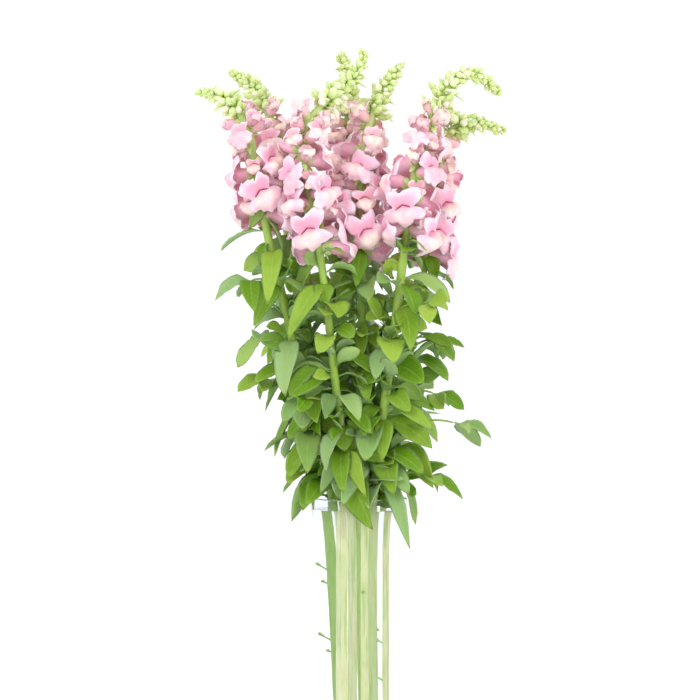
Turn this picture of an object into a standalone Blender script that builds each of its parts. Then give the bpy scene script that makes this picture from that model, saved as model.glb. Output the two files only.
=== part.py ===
"""Seven cut snapdragons standing in a clear glass cylinder vase of water.

Metres, +Z up. The origin is the centre of the vase's foot, on the surface that it stands on, and the
front of the bunch faces -Y. Each flower is one green body, with its stem, leaves, side shoots and buds,
and one pink body, with its open florets on a thin sleeve around the stem.
"""

import math
import random

import bmesh
import bpy
from mathutils import Vector
from mathutils.bvhtree import BVHTree
from mathutils.geometry import interpolate_bezier

MM = 0.001
SEED = 11
GOLDEN_ANGLE = math.radians(137.5)
UP = Vector((0, 0, 1))
DEPTH = Vector((0, 1, 0))

# Running gap between two bodies that touch on the real thing, and the room kept round a leaf or petal
GAP = 0.35 * MM
ROOM = 0.5 * MM

# Vase and water
VASE_RADIUS = 50 * MM
VASE_WALL = 3 * MM
VASE_HEIGHT = 250 * MM
VASE_BASE = 9 * MM
VASE_EDGE = 1.2 * MM
VASE_SIDES = 32
WATER_LEVEL = 238 * MM

# Stems: waypoints in millimetres (x, y, z) from the cut end up to the tip of the buds
STEMS = {
    "far_left": [(-13, 14, 9.35), (-19, 9, 150), (-25, 3, 232), (-36, -3, 285), (-54, -12, 350),
                 (-78, -24, 455), (-96, -28, 530), (-106, -29, 590), (-117, -26, 636), (-137, -21, 661),
                 (-162, -15, 671)],
    "left": [(-14, -4, 9.35), (-14, -3, 150), (-15, -2, 232), (-24, 13, 290), (-38, 33, 350),
             (-60, 47, 455), (-76, 52, 530), (-84, 52, 590), (-92, 50, 640), (-106, 46, 675),
             (-134, 40, 697)],
    "bent": [(-6, -18, 9.35), (-6, -20, 150), (-8, -24, 240), (-22, -36, 350), (-35, -46, 465),
             (-47, -50, 545), (-58, -50, 600), (-53, -46, 634), (-34, -40, 658), (-14, -34, 676),
             (0, -29, 690), (4, -26, 708)],
    "centre_back": [(4, 16, 9.35), (1, 22, 150), (-1, 27, 240), (-4, 42, 350), (-8, 56, 455),
                    (-11, 62, 530), (-12, 62, 600), (-12, 58, 660), (-13, 54, 692), (-18, 51, 717)],
    "centre": [(6, -6, 9.35), (6, -8, 150), (6, -8, 240), (6, -10, 350), (3, -11, 455),
               (2, -12, 530), (4, -12, 600), (13, -11, 645), (26, -10, 674), (41, -8, 697)],
    "right": [(13, -17, 9.35), (12, -20, 150), (14, -22, 240), (25, -29, 340), (34, -35, 410),
              (43, -40, 480), (51, -41, 545), (61, -37, 600), (77, -29, 642), (90, -23, 672),
              (108, -17, 688), (126, -12, 687), (144, -8, 673)],
    "far_right": [(23, -12, 9.35), (23, -12, 150), (25, -8, 240), (43, 17, 340), (58, 27, 420),
                  (71, 34, 500), (79, 38, 560), (85, 38, 610), (97, 34, 636), (119, 28, 643),
                  (149, 20, 635)],
}
STEM_RADII = (4.3 * MM, 3.9 * MM, 3.1 * MM, 1.0 * MM)
STEM_SIDES = 6
LINE_STEPS = 12

# Height in millimetres of a stem's lowest floret, how far back from its tip the closed buds reach, and how
# thick it is beside the others
FLOWERING = {
    "far_left": (535, 55, 1.0), "left": (530, 58, 1.1), "bent": (500, 80, 0.95),
    "centre_back": (515, 68, 0.9), "centre": (500, 62, 1.1), "right": (520, 105, 1.0),
    "far_right": (495, 62, 0.76),
}
BARE_STEM = 10 * MM

# Open florets, on a sleeve round the stem
FLORET_SPACING = 10.8 * MM
SLEEVE_WALL = 1.4 * MM
FLORET_SIZES = (1.25, 0.84)
FLORET_RISES = (math.radians(-16), math.radians(30))
FLORET_TRIES = 40

# Closed buds above them
BUD_SPACING = 5 * MM
BUD_LENGTHS = (15 * MM, 6 * MM)
BUD_WIDTHS = (9 * MM, 5 * MM)
BUD_TRIES = 12

# Leaves, from the vase's rim up to the florets. A leaf's reach is how far out it would go without its droop.
LEAF_SPACING = 11.3 * MM
LEAF_START = VASE_HEIGHT - 12 * MM
LEAF_REACHES = (58 * MM, 44 * MM)
LEAF_WIDTHS = (32 * MM, 26 * MM)
LEAF_ROOT = 2 * MM
LEAF_TRIES = 40
# Places along a blade, and its share of the full width and its depth at the midrib. Both ends are points.
LEAF_SECTIONS = ((0.32, 1.0, 1.8 * MM), (0.66, 0.8, 1.2 * MM))
# How far a leaf turns its upper face to the front, where the light is, and how much leaves differ in that
LEAF_TURN = 0.9
LEAF_ROLL = 0.6

# Leaves that show in front: stem, height, compass angle (0 is +X), rise, reach, width, droop
PLACED_LEAVES = [
    ("right", 285, -49, 17, 44, 18, 1.9), ("centre", 385, -95, 20, 34, 23, 1.5),
    ("right", 330, -80, 10, 36, 21, 1.3), ("bent", 300, -110, 15, 40, 20, 1.2),
    ("bent", 375, 190, 25, 48, 18, 0.5), ("far_left", 300, 215, 20, 48, 20, 0.9),
]

# Side shoots: stem, height in millimetres where it leaves the stem, compass angle, length
SHOOTS = [
    ("far_left", 468, 188, 32), ("far_left", 350, 178, 38), ("far_left", 398, 184, 30),
    ("left", 400, 120, 44), ("bent", 330, 200, 40), ("centre_back", 400, 80, 46), ("right", 440, -35, 40),
    ("far_right", 312, 2, 66), ("far_right", 262, -12, 42), ("far_right", 404, 6, 30),
    ("far_right", 352, -14, 34),
]
SHOOT_WIDTH = 1.9 * MM
SHOOT_LEAVES = 3
SHOOT_LEAF_REACH = 33 * MM
SHOOT_LEAF_WIDTH = 17 * MM

# A floret in millimetres: angle from straight up as seen from in front, radius, reach from the stem.
# Two lobes stand up and three spread below, and the deep notches between them are the mouth's corners.
FLORET_RIM = [
    (0, 12, 19), (16, 17, 18), (48, 16, 18), (74, 8, 19), (94, 14, 24),
    (128, 15, 25), (150, 11, 26), (165, 15, 26), (195, 15, 26), (210, 11, 26),
    (232, 15, 25), (266, 14, 24), (286, 8, 19), (312, 16, 18), (344, 17, 18),
]
FLORET_ROOT = [(0, 0, 0.5)]
FLORET_NECK = [(angle, 4.2, 11) for angle in (0, 72, 144, 216, 288)]
FLORET_MOUTH = [(angle, 5.5, 25) for angle in (0, 72, 144, 216, 288)]
FLORET_PALATE = [(0, 0, 28)]

COLOURS = {
    "glass": ((0.86, 0.94, 0.95, 1), 0.04),
    "water": ((0.80, 0.92, 0.94, 1), 0.03),
    "leaf": ((0.16, 0.30, 0.05, 1), 0.45),
    "petal": ((0.85, 0.36, 0.50, 1), 0.5),
}


class Route:
    """A smooth line through a stem's waypoints, read by its length from the cut end."""

    def __init__(self, waypoints, first_floret, bud_length, girth):
        self.girth = girth
        knots = [Vector(point) * MM for point in waypoints]
        before = [2 * knots[0] - knots[1], *knots[:-1]]
        after = [*knots[1:], 2 * knots[-1] - knots[-2]]
        ways = [(b - a).normalized() for a, b in zip(before, after)]
        self.points = [knots[0]]
        for i, (start, end) in enumerate(zip(knots, knots[1:])):
            third = (end - start).length / 3
            handles = start + ways[i] * third, end - ways[i + 1] * third
            self.points += interpolate_bezier(start, *handles, end, LINE_STEPS)[1:]
        self.marks = [0.0]
        for start, end in zip(self.points, self.points[1:]):
            self.marks.append(self.marks[-1] + (end - start).length)
        self.length = self.marks[-1]
        self.bloom_start = self.at_height(first_floret * MM)
        self.bloom_end = self.length - bud_length * MM

    def step(self, distance):
        last = len(self.marks) - 2
        return next((i for i in range(last) if self.marks[i + 1] >= distance), last)

    def at(self, distance):
        i = self.step(distance)
        share = (distance - self.marks[i]) / (self.marks[i + 1] - self.marks[i])
        return self.points[i].lerp(self.points[i + 1], share)

    def heading(self, distance):
        i = self.step(distance)
        low, high = max(i - 1, 0), min(i + 2, len(self.points) - 1)
        return (self.points[high] - self.points[low]).normalized()

    def at_height(self, height):
        """The length along the stem at which it first reaches a height."""
        return next(mark for mark, point in zip(self.marks, self.points) if point.z >= height)

    def across(self, distance, angle):
        """A unit vector square to the stem, at a compass angle about it."""
        heading = self.heading(distance)
        side = DEPTH.cross(heading).normalized()
        return side * math.cos(angle) + heading.cross(side) * math.sin(angle)

    def radius(self, distance):
        """The stem tapers from its cut end to its tip, faster along the buds."""
        foot, low, high, tip = (radius * self.girth for radius in STEM_RADII)
        start, end = self.bloom_start, self.bloom_end
        if distance < start:
            return mix((foot, low), distance / start)
        if distance < end:
            return mix((low, high), (distance - start) / (end - start))
        return mix((high, tip), (distance - end) / (self.length - end))

    def ring(self, distance, radius):
        """Corners round the stem. The cut end is flat, as it stands on the vase's floor."""
        centre = self.at(distance)
        turns = [math.tau * side / STEM_SIDES for side in range(STEM_SIDES)]
        points = [centre + self.across(distance, turn) * radius for turn in turns]
        return [Vector((p.x, p.y, centre.z)) for p in points] if distance == 0 else points


def mix(pair, share):
    """The value that share of the way from the first of a pair to the second."""
    return pair[0] + (pair[1] - pair[0]) * share


def spread(low, high, count):
    """Evenly spaced values from low to high."""
    return [low + (high - low) * i / (count - 1) for i in range(count)]


def loft(rings):
    """Corners and triangles of one closed solid through rings of points. Rings may differ in count, and
    a ring of one point is a tip."""
    corners, faces, starts = [], [], []
    for ring in rings:
        starts.append(len(corners))
        corners += ring
    for k, (near, far) in enumerate(zip(rings, rings[1:])):
        faces += zipped(starts[k], len(near), starts[k + 1], len(far))
    first = [starts[0] + i for i in range(len(rings[0]))]
    last = [starts[-1] + i for i in range(len(rings[-1]))]
    faces += [(first[0], first[i + 1], first[i]) for i in range(1, len(first) - 1)]
    faces += [(last[0], last[i], last[i + 1]) for i in range(1, len(last) - 1)]
    return corners, faces


def zipped(near, near_count, far, far_count):
    """Triangles between two rings, given the first index and the count of each."""
    faces, i, j = [], 0, 0
    while i < near_count or j < far_count:
        a, b = near + i % near_count, far + j % far_count
        near_is_next = (i + 0.5) * far_count <= (j + 0.5) * near_count
        if j == far_count or (i < near_count and near_is_next):
            if near_count > 1:
                faces.append((a, near + (i + 1) % near_count, b))
            i += 1
        else:
            if far_count > 1:
                faces.append((a, far + (j + 1) % far_count, b))
            j += 1
    return faces


def leaf(root, out, reach, width, droop, roll, margin=0.0):
    """A lance-shaped leaf with a keeled midrib, which leaves its root along out and arches over by its own
    weight. Its corners run the way round that lets the twisted blade bulge and not cut into its keel."""
    side = out.cross(UP)
    side = (side if side.length > 0.05 else DEPTH.copy()).normalized()
    rings = [[root - out * LEAF_ROOT]]
    for place, share, depth in LEAF_SECTIONS:
        centre = root + out * reach * place - UP * droop * reach * place * place
        heading = (out - UP * 2 * droop * place).normalized()
        upper = side.cross(heading).normalized()
        turn = roll * math.sqrt(place)
        across = side * math.cos(turn) + upper * math.sin(turn)
        half = across * (width / 2 * share + margin)
        keel = heading.cross(across).normalized() * (depth + margin)
        ring = [centre - half - keel * 0.3, centre + half - keel * 0.3, centre + keel * 0.7]
        rings.append(ring if roll < 0 else ring[::-1])
    heading = (out - UP * 2 * droop).normalized()
    rings.append([root + out * reach - UP * droop * reach + heading * margin])
    return loft(rings)


def floret(root, out, up, size, margin=0.0):
    """A two-lipped floret: a tube that flares into two upper and three lower lobes round a swollen palate."""
    side = out.cross(up).normalized()
    up = side.cross(out).normalized()

    def placed(ring):
        spots = []
        for angle, radius, reach in ring:
            turn = math.radians(angle)
            away = (radius * size + margin / MM) * MM
            along = (reach * size + margin / MM) * MM
            spots.append(root + out * along + up * away * math.cos(turn) + side * away * math.sin(turn))
        return spots

    return loft([placed(r) for r in (FLORET_ROOT, FLORET_NECK, FLORET_RIM, FLORET_MOUTH, FLORET_PALATE)])


def bud(root, out, length, width, margin=0.0):
    """A closed bud, plump near its base and pointed at its tip."""
    side = (out.cross(UP) if abs(out.z) < 0.9 else out.cross(DEPTH)).normalized()
    up = side.cross(out)
    waist = root + out * length * 0.6
    turns = [math.tau * turn / 3 for turn in range(3)]
    belt = [waist + (up * math.cos(t) + side * math.sin(t)) * (width / 2 + margin) for t in turns]
    return loft([[root], belt, [root + out * (length + margin)]])


def stalk(root, tip, width, margin=0.0):
    """The thin three-sided stalk of a side shoot, bowed a little upwards."""
    rings = []
    side = (tip - root).cross(UP).normalized()
    for place in (0.0, 0.5, 1.0):
        centre = root.lerp(tip, place) + UP * 0.14 * (tip - root).length * math.sin(math.pi * place)
        half = width / 2 + margin
        rings.append([centre + UP * half, centre + side * half, centre - (UP + side) * half * 0.7])
    return loft(rings)


class Bunch:
    """Everything grown so far, kept to see whether a new piece would touch another plant's."""

    def __init__(self):
        self.grown = []

    def add(self, solid, owner):
        corners, faces = solid
        low = Vector(map(min, zip(*corners)))
        high = Vector(map(max, zip(*corners)))
        self.grown.append((low, high, BVHTree.FromPolygons(corners, faces, all_triangles=True), owner))

    def clear(self, solid, *owners):
        """Whether a solid touches nothing but what it grows from."""
        corners, faces = solid
        low = Vector(map(min, zip(*corners)))
        high = Vector(map(max, zip(*corners)))
        tree = None
        for its_low, its_high, its_tree, its_owner in self.grown:
            if its_owner in owners:
                continue
            if any(high[k] < its_low[k] or low[k] > its_high[k] for k in range(3)):
                continue
            tree = tree or BVHTree.FromPolygons(corners, faces, all_triangles=True)
            if tree.overlap(its_tree):
                return False
        return True


def stem_marks(route):
    """Where a stem's rings stand: far apart low down, closer along the florets and round the bent tip."""
    start, end = route.bloom_start, route.bloom_end
    return [*spread(0, start, 8), *spread(start, end, 6)[1:], *spread(end, route.length, 7)[1:]]


def stem_tube(route, margin=0.0):
    marks = stem_marks(route)
    return loft([route.ring(mark, route.radius(mark) + margin) for mark in marks])


def sleeve_tube(route):
    """The pink skin round the stem that carries the florets. Its rings are the stem's own."""
    marks = [mark for mark in stem_marks(route) if route.bloom_start <= mark <= route.bloom_end]
    return loft([route.ring(mark, route.radius(mark) + GAP + SLEEVE_WALL) for mark in marks])


def in_turn(routes, start, end, spacing):
    """Every stem's repeats from the lowest up, plant by plant: name, share of the way up, and number."""
    turns = []
    for name, route in routes.items():
        count = round((end(route) - start(route)) / spacing)
        turns += [(order / (count - 1), name, order) for order in range(count)]
    return [(name, share, order) for share, name, order in sorted(turns)]


def grow_floret(bunch, rng, name, route, share, order):
    """One floret, turned and shrunk until it is clear of the others, or None."""
    distance = mix((route.bloom_start + 8 * MM, route.bloom_end - 4 * MM), share)
    for attempt in range(FLORET_TRIES):
        wobble = math.radians(4 + 2.2 * attempt)
        angle = GOLDEN_ANGLE * order + rng.uniform(-wobble, wobble)
        rise = mix(FLORET_RISES, share) + rng.uniform(-wobble, wobble) * 0.5
        size = mix(FLORET_SIZES, share) * (1 - 0.009 * attempt)
        heading = route.heading(distance)
        out = (route.across(distance, angle) * math.cos(rise) + heading * math.sin(rise)).normalized()
        plan = (route.at(distance), out, heading, size)
        if bunch.clear(floret(*plan, margin=ROOM), "stem_" + name, "bloom_" + name):
            bunch.add(floret(*plan), "bloom_" + name)
            return plan
    return None


def grow_bud(bunch, rng, name, route, share, order):
    distance = mix((route.bloom_end + 7 * MM, route.length), share)
    for attempt in range(BUD_TRIES):
        wobble = math.radians(8 + 6 * attempt)
        angle = GOLDEN_ANGLE * order + rng.uniform(-wobble, wobble)
        rise = math.radians(28 + 42 * share) + rng.uniform(-wobble, wobble) * 0.3
        heading = route.heading(distance)
        out = (route.across(distance, angle) * math.cos(rise) + heading * math.sin(rise)).normalized()
        reach = route.radius(distance) + mix(BUD_LENGTHS, share)
        plan = (route.at(distance), out, reach, mix(BUD_WIDTHS, share))
        if bunch.clear(bud(*plan, margin=ROOM), "stem_" + name):
            bunch.add(bud(*plan), "stem_" + name)
            return plan
    return None


def grow_leaf(bunch, rng, name, route, share, order):
    distance = mix((route.at_height(LEAF_START), route.bloom_start - BARE_STEM), share)
    for attempt in range(LEAF_TRIES):
        wobble = math.radians(10 + 4 * attempt)
        angle = GOLDEN_ANGLE * order + rng.uniform(-wobble, wobble)
        rise = math.radians(rng.uniform(5, 50))
        shrink = 1 - 0.009 * attempt
        reach = mix(LEAF_REACHES, share) * rng.uniform(0.75, 1.15) * shrink
        width = mix(LEAF_WIDTHS, share) * rng.uniform(0.75, 1.1) * shrink
        out = (route.across(distance, angle) * math.cos(rise) + UP * math.sin(rise)).normalized()
        droop, roll = rng.uniform(0.45, 1.35), rng.uniform(-LEAF_ROLL, LEAF_ROLL) - LEAF_TURN * out.x
        plan = (route.at(distance), out, reach, width, droop, roll)
        if bunch.clear(leaf(*plan, margin=ROOM), "stem_" + name):
            bunch.add(leaf(*plan), "stem_" + name)
            return plan
    return None


def place_leaf(bunch, name, route, height, compass, rise, reach, width, droop):
    """One of the leaves that are placed by hand."""
    turn, lift = math.radians(compass), math.radians(rise)
    out = Vector((math.cos(turn) * math.cos(lift), math.sin(turn) * math.cos(lift), math.sin(lift)))
    plan = (route.at(route.at_height(height * MM)), out, reach * MM, width * MM, droop, -LEAF_TURN * out.x)
    if not bunch.clear(leaf(*plan, margin=ROOM), "stem_" + name):
        return None
    bunch.add(leaf(*plan), "stem_" + name)
    return plan


def grow_shoot(bunch, rng, name, route, height, compass, length):
    """A stalk with a tuft of small leaves at its end: its own plan, then its leaves' plans."""
    root = route.at(route.at_height(height * MM))
    for attempt in range(LEAF_TRIES):
        wobble = math.radians(3 + 2.5 * attempt)
        angle = math.radians(compass) + rng.uniform(-wobble, wobble)
        flat = Vector((math.cos(angle), math.sin(angle), rng.uniform(0.0, 0.5))).normalized()
        tip = root + flat * length * MM
        plan = (root, tip, SHOOT_WIDTH)
        tuft = []
        for turn in spread(-1.2, 1.2, SHOOT_LEAVES):
            heading = angle + turn + rng.uniform(-0.2, 0.2)
            out = Vector((math.cos(heading), math.sin(heading), rng.uniform(-0.4, 0.4))).normalized()
            size = rng.uniform(0.8, 1.2)
            tuft.append((tip - flat * SHOOT_WIDTH, out, SHOOT_LEAF_REACH * size, SHOOT_LEAF_WIDTH * size,
                         rng.uniform(0.2, 0.9), rng.uniform(-0.4, 0.4) - LEAF_TURN * out.x))
        solids = [stalk(*plan, margin=ROOM), *(leaf(*p, margin=ROOM) for p in tuft)]
        if all(bunch.clear(solid, "stem_" + name) for solid in solids):
            for solid in [stalk(*plan), *(leaf(*p) for p in tuft)]:
                bunch.add(solid, "stem_" + name)
            return plan, tuft
    return None, []


def vase_profile():
    """The glass from the centre of its foot, up the outside, over the rim and down the inside."""
    outer, inner = VASE_RADIUS, VASE_RADIUS - VASE_WALL
    edge = VASE_EDGE
    return [(0, 0), (outer - edge, 0), (outer, edge), (outer, VASE_HEIGHT - edge),
            (outer - edge, VASE_HEIGHT), (inner + edge, VASE_HEIGHT), (inner, VASE_HEIGHT - edge),
            (inner, VASE_BASE + edge), (inner - edge, VASE_BASE), (0, VASE_BASE)]


def water_profile():
    radius, floor = VASE_RADIUS - VASE_WALL - GAP, VASE_BASE + GAP
    return [(0, floor), (radius - VASE_EDGE, floor), (radius, floor + VASE_EDGE), (radius, WATER_LEVEL),
            (0, WATER_LEVEL)]


def turned(profile, sides):
    """A closed solid turned about Z from a profile of radius and height that starts and ends on the axis."""
    rings = []
    for radius, height in profile:
        if radius == 0:
            rings.append([Vector((0, 0, height))])
            continue
        turns = [math.tau * side / sides for side in range(sides)]
        rings.append([Vector((radius * math.cos(t), radius * math.sin(t), height)) for t in turns])
    return loft(rings)


def plan_growth(routes):
    """Places every floret, bud, shoot and leaf, plant by plant in turn, each clear of the rest."""
    rng = random.Random(SEED)
    bunch = Bunch()
    bunch.add(turned(vase_profile(), VASE_SIDES), "vase")
    bunch.add(turned(water_profile(), VASE_SIDES), "water")
    plans = {name: {"florets": [], "buds": [], "stalks": [], "leaves": []} for name in routes}
    for name, route in routes.items():
        bunch.add(stem_tube(route, GAP), "stem_" + name)
        bunch.add(sleeve_tube(route), "stem_" + name)
    for name, *turn in in_turn(routes, lambda r: r.bloom_start, lambda r: r.bloom_end, FLORET_SPACING):
        plans[name]["florets"].append(grow_floret(bunch, rng, name, routes[name], *turn))
    for name, *turn in in_turn(routes, lambda r: r.bloom_end, lambda r: r.length, BUD_SPACING):
        plans[name]["buds"].append(grow_bud(bunch, rng, name, routes[name], *turn))
    for name, *place in PLACED_LEAVES:
        plans[name]["leaves"].append(place_leaf(bunch, name, routes[name], *place))
    for name, height, compass, length in SHOOTS:
        plan, tuft = grow_shoot(bunch, rng, name, routes[name], height, compass, length)
        plans[name]["stalks"].append(plan)
        plans[name]["leaves"] += tuft
    for name, *turn in in_turn(routes, lambda r: LEAF_START, lambda r: r.bloom_start, LEAF_SPACING):
        plans[name]["leaves"].append(grow_leaf(bunch, rng, name, routes[name], *turn))
    return plans


def as_object(name, solid, material=None):
    """A mesh object from corners and triangles, with its faces pointing outwards."""
    mesh = bpy.data.meshes.new(name)
    mesh.from_pydata(solid[0], [], solid[1])
    shape = bmesh.new()
    shape.from_mesh(mesh)
    bmesh.ops.recalc_face_normals(shape, faces=shape.faces)
    shape.to_mesh(mesh)
    shape.free()
    obj = bpy.data.objects.new(name, mesh)
    bpy.context.scene.collection.objects.link(obj)
    if material:
        mesh.materials.append(material)
    return obj


def joined(obj, pieces, operation="UNION"):
    """One Boolean between an object and a collection of pieces, which then go."""
    group = bpy.data.collections.new(obj.name + "_pieces")
    for number, solid in enumerate(pieces):
        piece = as_object(f"{obj.name}_piece_{number}", solid)
        bpy.context.scene.collection.objects.unlink(piece)
        group.objects.link(piece)
    modifier = obj.modifiers.new("grown", "BOOLEAN")
    modifier.operation = operation
    modifier.operand_type = "COLLECTION"
    modifier.collection = group
    modifier.solver = "MANIFOLD"
    bpy.context.view_layer.objects.active = obj
    bpy.ops.object.modifier_apply(modifier=modifier.name)
    for piece in list(group.objects):
        bpy.data.objects.remove(piece)
    bpy.data.collections.remove(group)


def keep_main_body(obj):
    """Deletes the loose scraps that a cut leaves beside the main body."""
    shape = bmesh.new()
    shape.from_mesh(obj.data)
    waiting, bodies = set(shape.verts), []
    while waiting:
        body, edge = set(), [waiting.pop()]
        while edge:
            vertex = edge.pop()
            body.add(vertex)
            near = {e.other_vert(vertex) for e in vertex.link_edges} & waiting
            waiting -= near
            edge += near
        bodies.append(body)
    bodies.sort(key=len)
    scraps = [vertex for body in bodies[:-1] for vertex in body]
    bmesh.ops.delete(shape, geom=scraps, context="VERTS")
    shape.to_mesh(obj.data)
    shape.free()


def shade_smooth(obj, angle):
    """Smooth shading over every edge that turns by less than an angle in degrees."""
    bpy.ops.object.select_all(action="DESELECT")
    obj.select_set(True)
    bpy.context.view_layer.objects.active = obj
    bpy.ops.object.shade_smooth_by_angle(angle=math.radians(angle))


def finish(name):
    colour, roughness = COLOURS[name]
    material = bpy.data.materials.new(name)
    material.diffuse_color = colour
    material.use_nodes = True
    shader = material.node_tree.nodes["Principled BSDF"]
    shader.inputs["Base Color"].default_value = colour
    shader.inputs["Roughness"].default_value = roughness
    shader.inputs["Metallic"].default_value = 0
    if name in ("glass", "water"):
        shader.inputs["Transmission Weight"].default_value = 1
        shader.inputs["IOR"].default_value = 1.5 if name == "glass" else 1.33
    return material


def build_green_body(name, route, plan, material):
    """Stem, leaves, side shoots and buds, grown together."""
    stem = as_object("stem_" + name, stem_tube(route), material)
    pieces = [bud(*p) for p in plan["buds"] if p]
    pieces += [stalk(*p) for p in plan["stalks"] if p]
    pieces += [leaf(*p) for p in plan["leaves"] if p]
    joined(stem, pieces)
    keep_main_body(stem)
    shade_smooth(stem, 62)


def build_pink_body(name, route, plan, material):
    """Open florets on their sleeve, with the hole that the stem passes through."""
    bloom = as_object("bloom_" + name, sleeve_tube(route), material)
    joined(bloom, [floret(*p) for p in plan["florets"] if p])
    joined(bloom, [stem_tube(route, GAP)], "DIFFERENCE")
    keep_main_body(bloom)
    shade_smooth(bloom, 62)


def build_water(routes, material):
    """Water up to its level, with a plain hole round each stem."""
    water = as_object("water", turned(water_profile(), VASE_SIDES), material)
    holes = []
    for route in routes.values():
        rings = [route.ring(mark, route.radius(mark) + GAP) for mark in stem_marks(route)]
        below = [point - UP * 2 * GAP for point in rings[0]]
        holes.append(loft([below, *rings[:5]]))
    joined(water, holes, "DIFFERENCE")
    shade_smooth(water, 35)


def main():
    for old in list(bpy.data.objects):
        bpy.data.objects.remove(old)
    materials = {name: finish(name) for name in COLOURS}
    routes = {name: Route(waypoints, *FLOWERING[name]) for name, waypoints in STEMS.items()}
    plans = plan_growth(routes)
    shade_smooth(as_object("vase", turned(vase_profile(), VASE_SIDES), materials["glass"]), 35)
    build_water(routes, materials["water"])
    for name, route in routes.items():
        build_green_body(name, route, plans[name], materials["leaf"])
        build_pink_body(name, route, plans[name], materials["petal"])
        missing = {kind: sum(p is None for p in found) for kind, found in plans[name].items()}
        print(name, "left out for want of room:", missing)


main()
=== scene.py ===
"""Seven cut snapdragons in a clear glass cylinder vase of water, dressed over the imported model.

The file is laid out as an add-on and is run as a script. The rule of growth is the part's own, so each
floret, bud and leaf stands where its solid does, and the fine forms are then modelled in its place. Smaller
leaves and florets fill the room between them.
"""

import functools
import math
import random

import bpy
import numpy as np
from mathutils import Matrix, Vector
from mathutils.bvhtree import BVHTree
from mathutils.geometry import interpolate_bezier


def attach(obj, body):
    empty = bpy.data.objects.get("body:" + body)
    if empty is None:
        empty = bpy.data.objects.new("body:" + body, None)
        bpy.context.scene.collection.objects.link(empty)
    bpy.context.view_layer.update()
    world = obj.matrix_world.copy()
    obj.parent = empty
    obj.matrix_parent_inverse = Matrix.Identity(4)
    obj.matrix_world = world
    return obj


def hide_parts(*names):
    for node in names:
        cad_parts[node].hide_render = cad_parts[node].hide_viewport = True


bl_info = {
    "name": "Snapdragons in a glass vase",
    "version": (1, 0, 0),
    "blender": (4, 5, 0),
    "location": "3D View > Sidebar > Snapdragons",
    "description": "Builds the stems, leaves, buds, florets, vase and water, and the stage they stand on",
    "category": "Object",
}

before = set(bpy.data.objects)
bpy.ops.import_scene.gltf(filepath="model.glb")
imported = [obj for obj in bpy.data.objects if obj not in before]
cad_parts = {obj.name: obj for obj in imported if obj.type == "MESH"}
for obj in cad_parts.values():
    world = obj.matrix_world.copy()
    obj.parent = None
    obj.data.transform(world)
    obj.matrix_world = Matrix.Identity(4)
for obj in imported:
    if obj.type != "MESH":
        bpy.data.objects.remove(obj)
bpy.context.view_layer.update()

MM = 0.001
SEED = 11
GOLDEN_ANGLE = math.radians(137.5)
UP = Vector((0, 0, 1))
DEPTH = Vector((0, 1, 0))

# Running gap between two bodies that touch on the real thing, and the room kept round a leaf or petal
GAP = 0.35 * MM
ROOM = 0.5 * MM

# Vase and water
VASE_RADIUS = 50 * MM
VASE_WALL = 3 * MM
VASE_HEIGHT = 250 * MM
VASE_BASE = 9 * MM
VASE_EDGE = 1.2 * MM
VASE_SIDES = 32
WATER_LEVEL = 238 * MM

# Stems: waypoints in millimetres (x, y, z) from the cut end up to the tip of the buds
STEMS = {
    "far_left": [(-13, 14, 9.35), (-19, 9, 150), (-25, 3, 232), (-36, -3, 285), (-54, -12, 350),
                 (-78, -24, 455), (-96, -28, 530), (-106, -29, 590), (-117, -26, 636), (-137, -21, 661),
                 (-162, -15, 671)],
    "left": [(-14, -4, 9.35), (-14, -3, 150), (-15, -2, 232), (-24, 13, 290), (-38, 33, 350),
             (-60, 47, 455), (-76, 52, 530), (-84, 52, 590), (-92, 50, 640), (-106, 46, 675),
             (-134, 40, 697)],
    "bent": [(-6, -18, 9.35), (-6, -20, 150), (-8, -24, 240), (-22, -36, 350), (-35, -46, 465),
             (-47, -50, 545), (-58, -50, 600), (-53, -46, 634), (-34, -40, 658), (-14, -34, 676),
             (0, -29, 690), (4, -26, 708)],
    "centre_back": [(4, 16, 9.35), (1, 22, 150), (-1, 27, 240), (-4, 42, 350), (-8, 56, 455),
                    (-11, 62, 530), (-12, 62, 600), (-12, 58, 660), (-13, 54, 692), (-18, 51, 717)],
    "centre": [(6, -6, 9.35), (6, -8, 150), (6, -8, 240), (6, -10, 350), (3, -11, 455),
               (2, -12, 530), (4, -12, 600), (13, -11, 645), (26, -10, 674), (41, -8, 697)],
    "right": [(13, -17, 9.35), (12, -20, 150), (14, -22, 240), (25, -29, 340), (34, -35, 410),
              (43, -40, 480), (51, -41, 545), (61, -37, 600), (77, -29, 642), (90, -23, 672),
              (108, -17, 688), (126, -12, 687), (144, -8, 673)],
    "far_right": [(23, -12, 9.35), (23, -12, 150), (25, -8, 240), (43, 17, 340), (58, 27, 420),
                  (71, 34, 500), (79, 38, 560), (85, 38, 610), (97, 34, 636), (119, 28, 643),
                  (149, 20, 635)],
}
STEM_RADII = (4.3 * MM, 3.9 * MM, 3.1 * MM, 1.0 * MM)
STEM_SIDES = 6
LINE_STEPS = 12

# Height in millimetres of a stem's lowest floret, how far back from its tip the closed buds reach, and how
# thick it is beside the others
FLOWERING = {
    "far_left": (535, 55, 1.0), "left": (530, 58, 1.1), "bent": (500, 80, 0.95),
    "centre_back": (515, 68, 0.9), "centre": (500, 62, 1.1), "right": (520, 105, 1.0),
    "far_right": (495, 62, 0.76),
}
BARE_STEM = 10 * MM

# Open florets, on a sleeve round the stem
FLORET_SPACING = 10.8 * MM
SLEEVE_WALL = 1.4 * MM
FLORET_SIZES = (1.25, 0.84)
FLORET_RISES = (math.radians(-16), math.radians(30))
FLORET_TRIES = 40

# Closed buds above them
BUD_SPACING = 5 * MM
BUD_LENGTHS = (15 * MM, 6 * MM)
BUD_WIDTHS = (9 * MM, 5 * MM)
BUD_TRIES = 12

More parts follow.
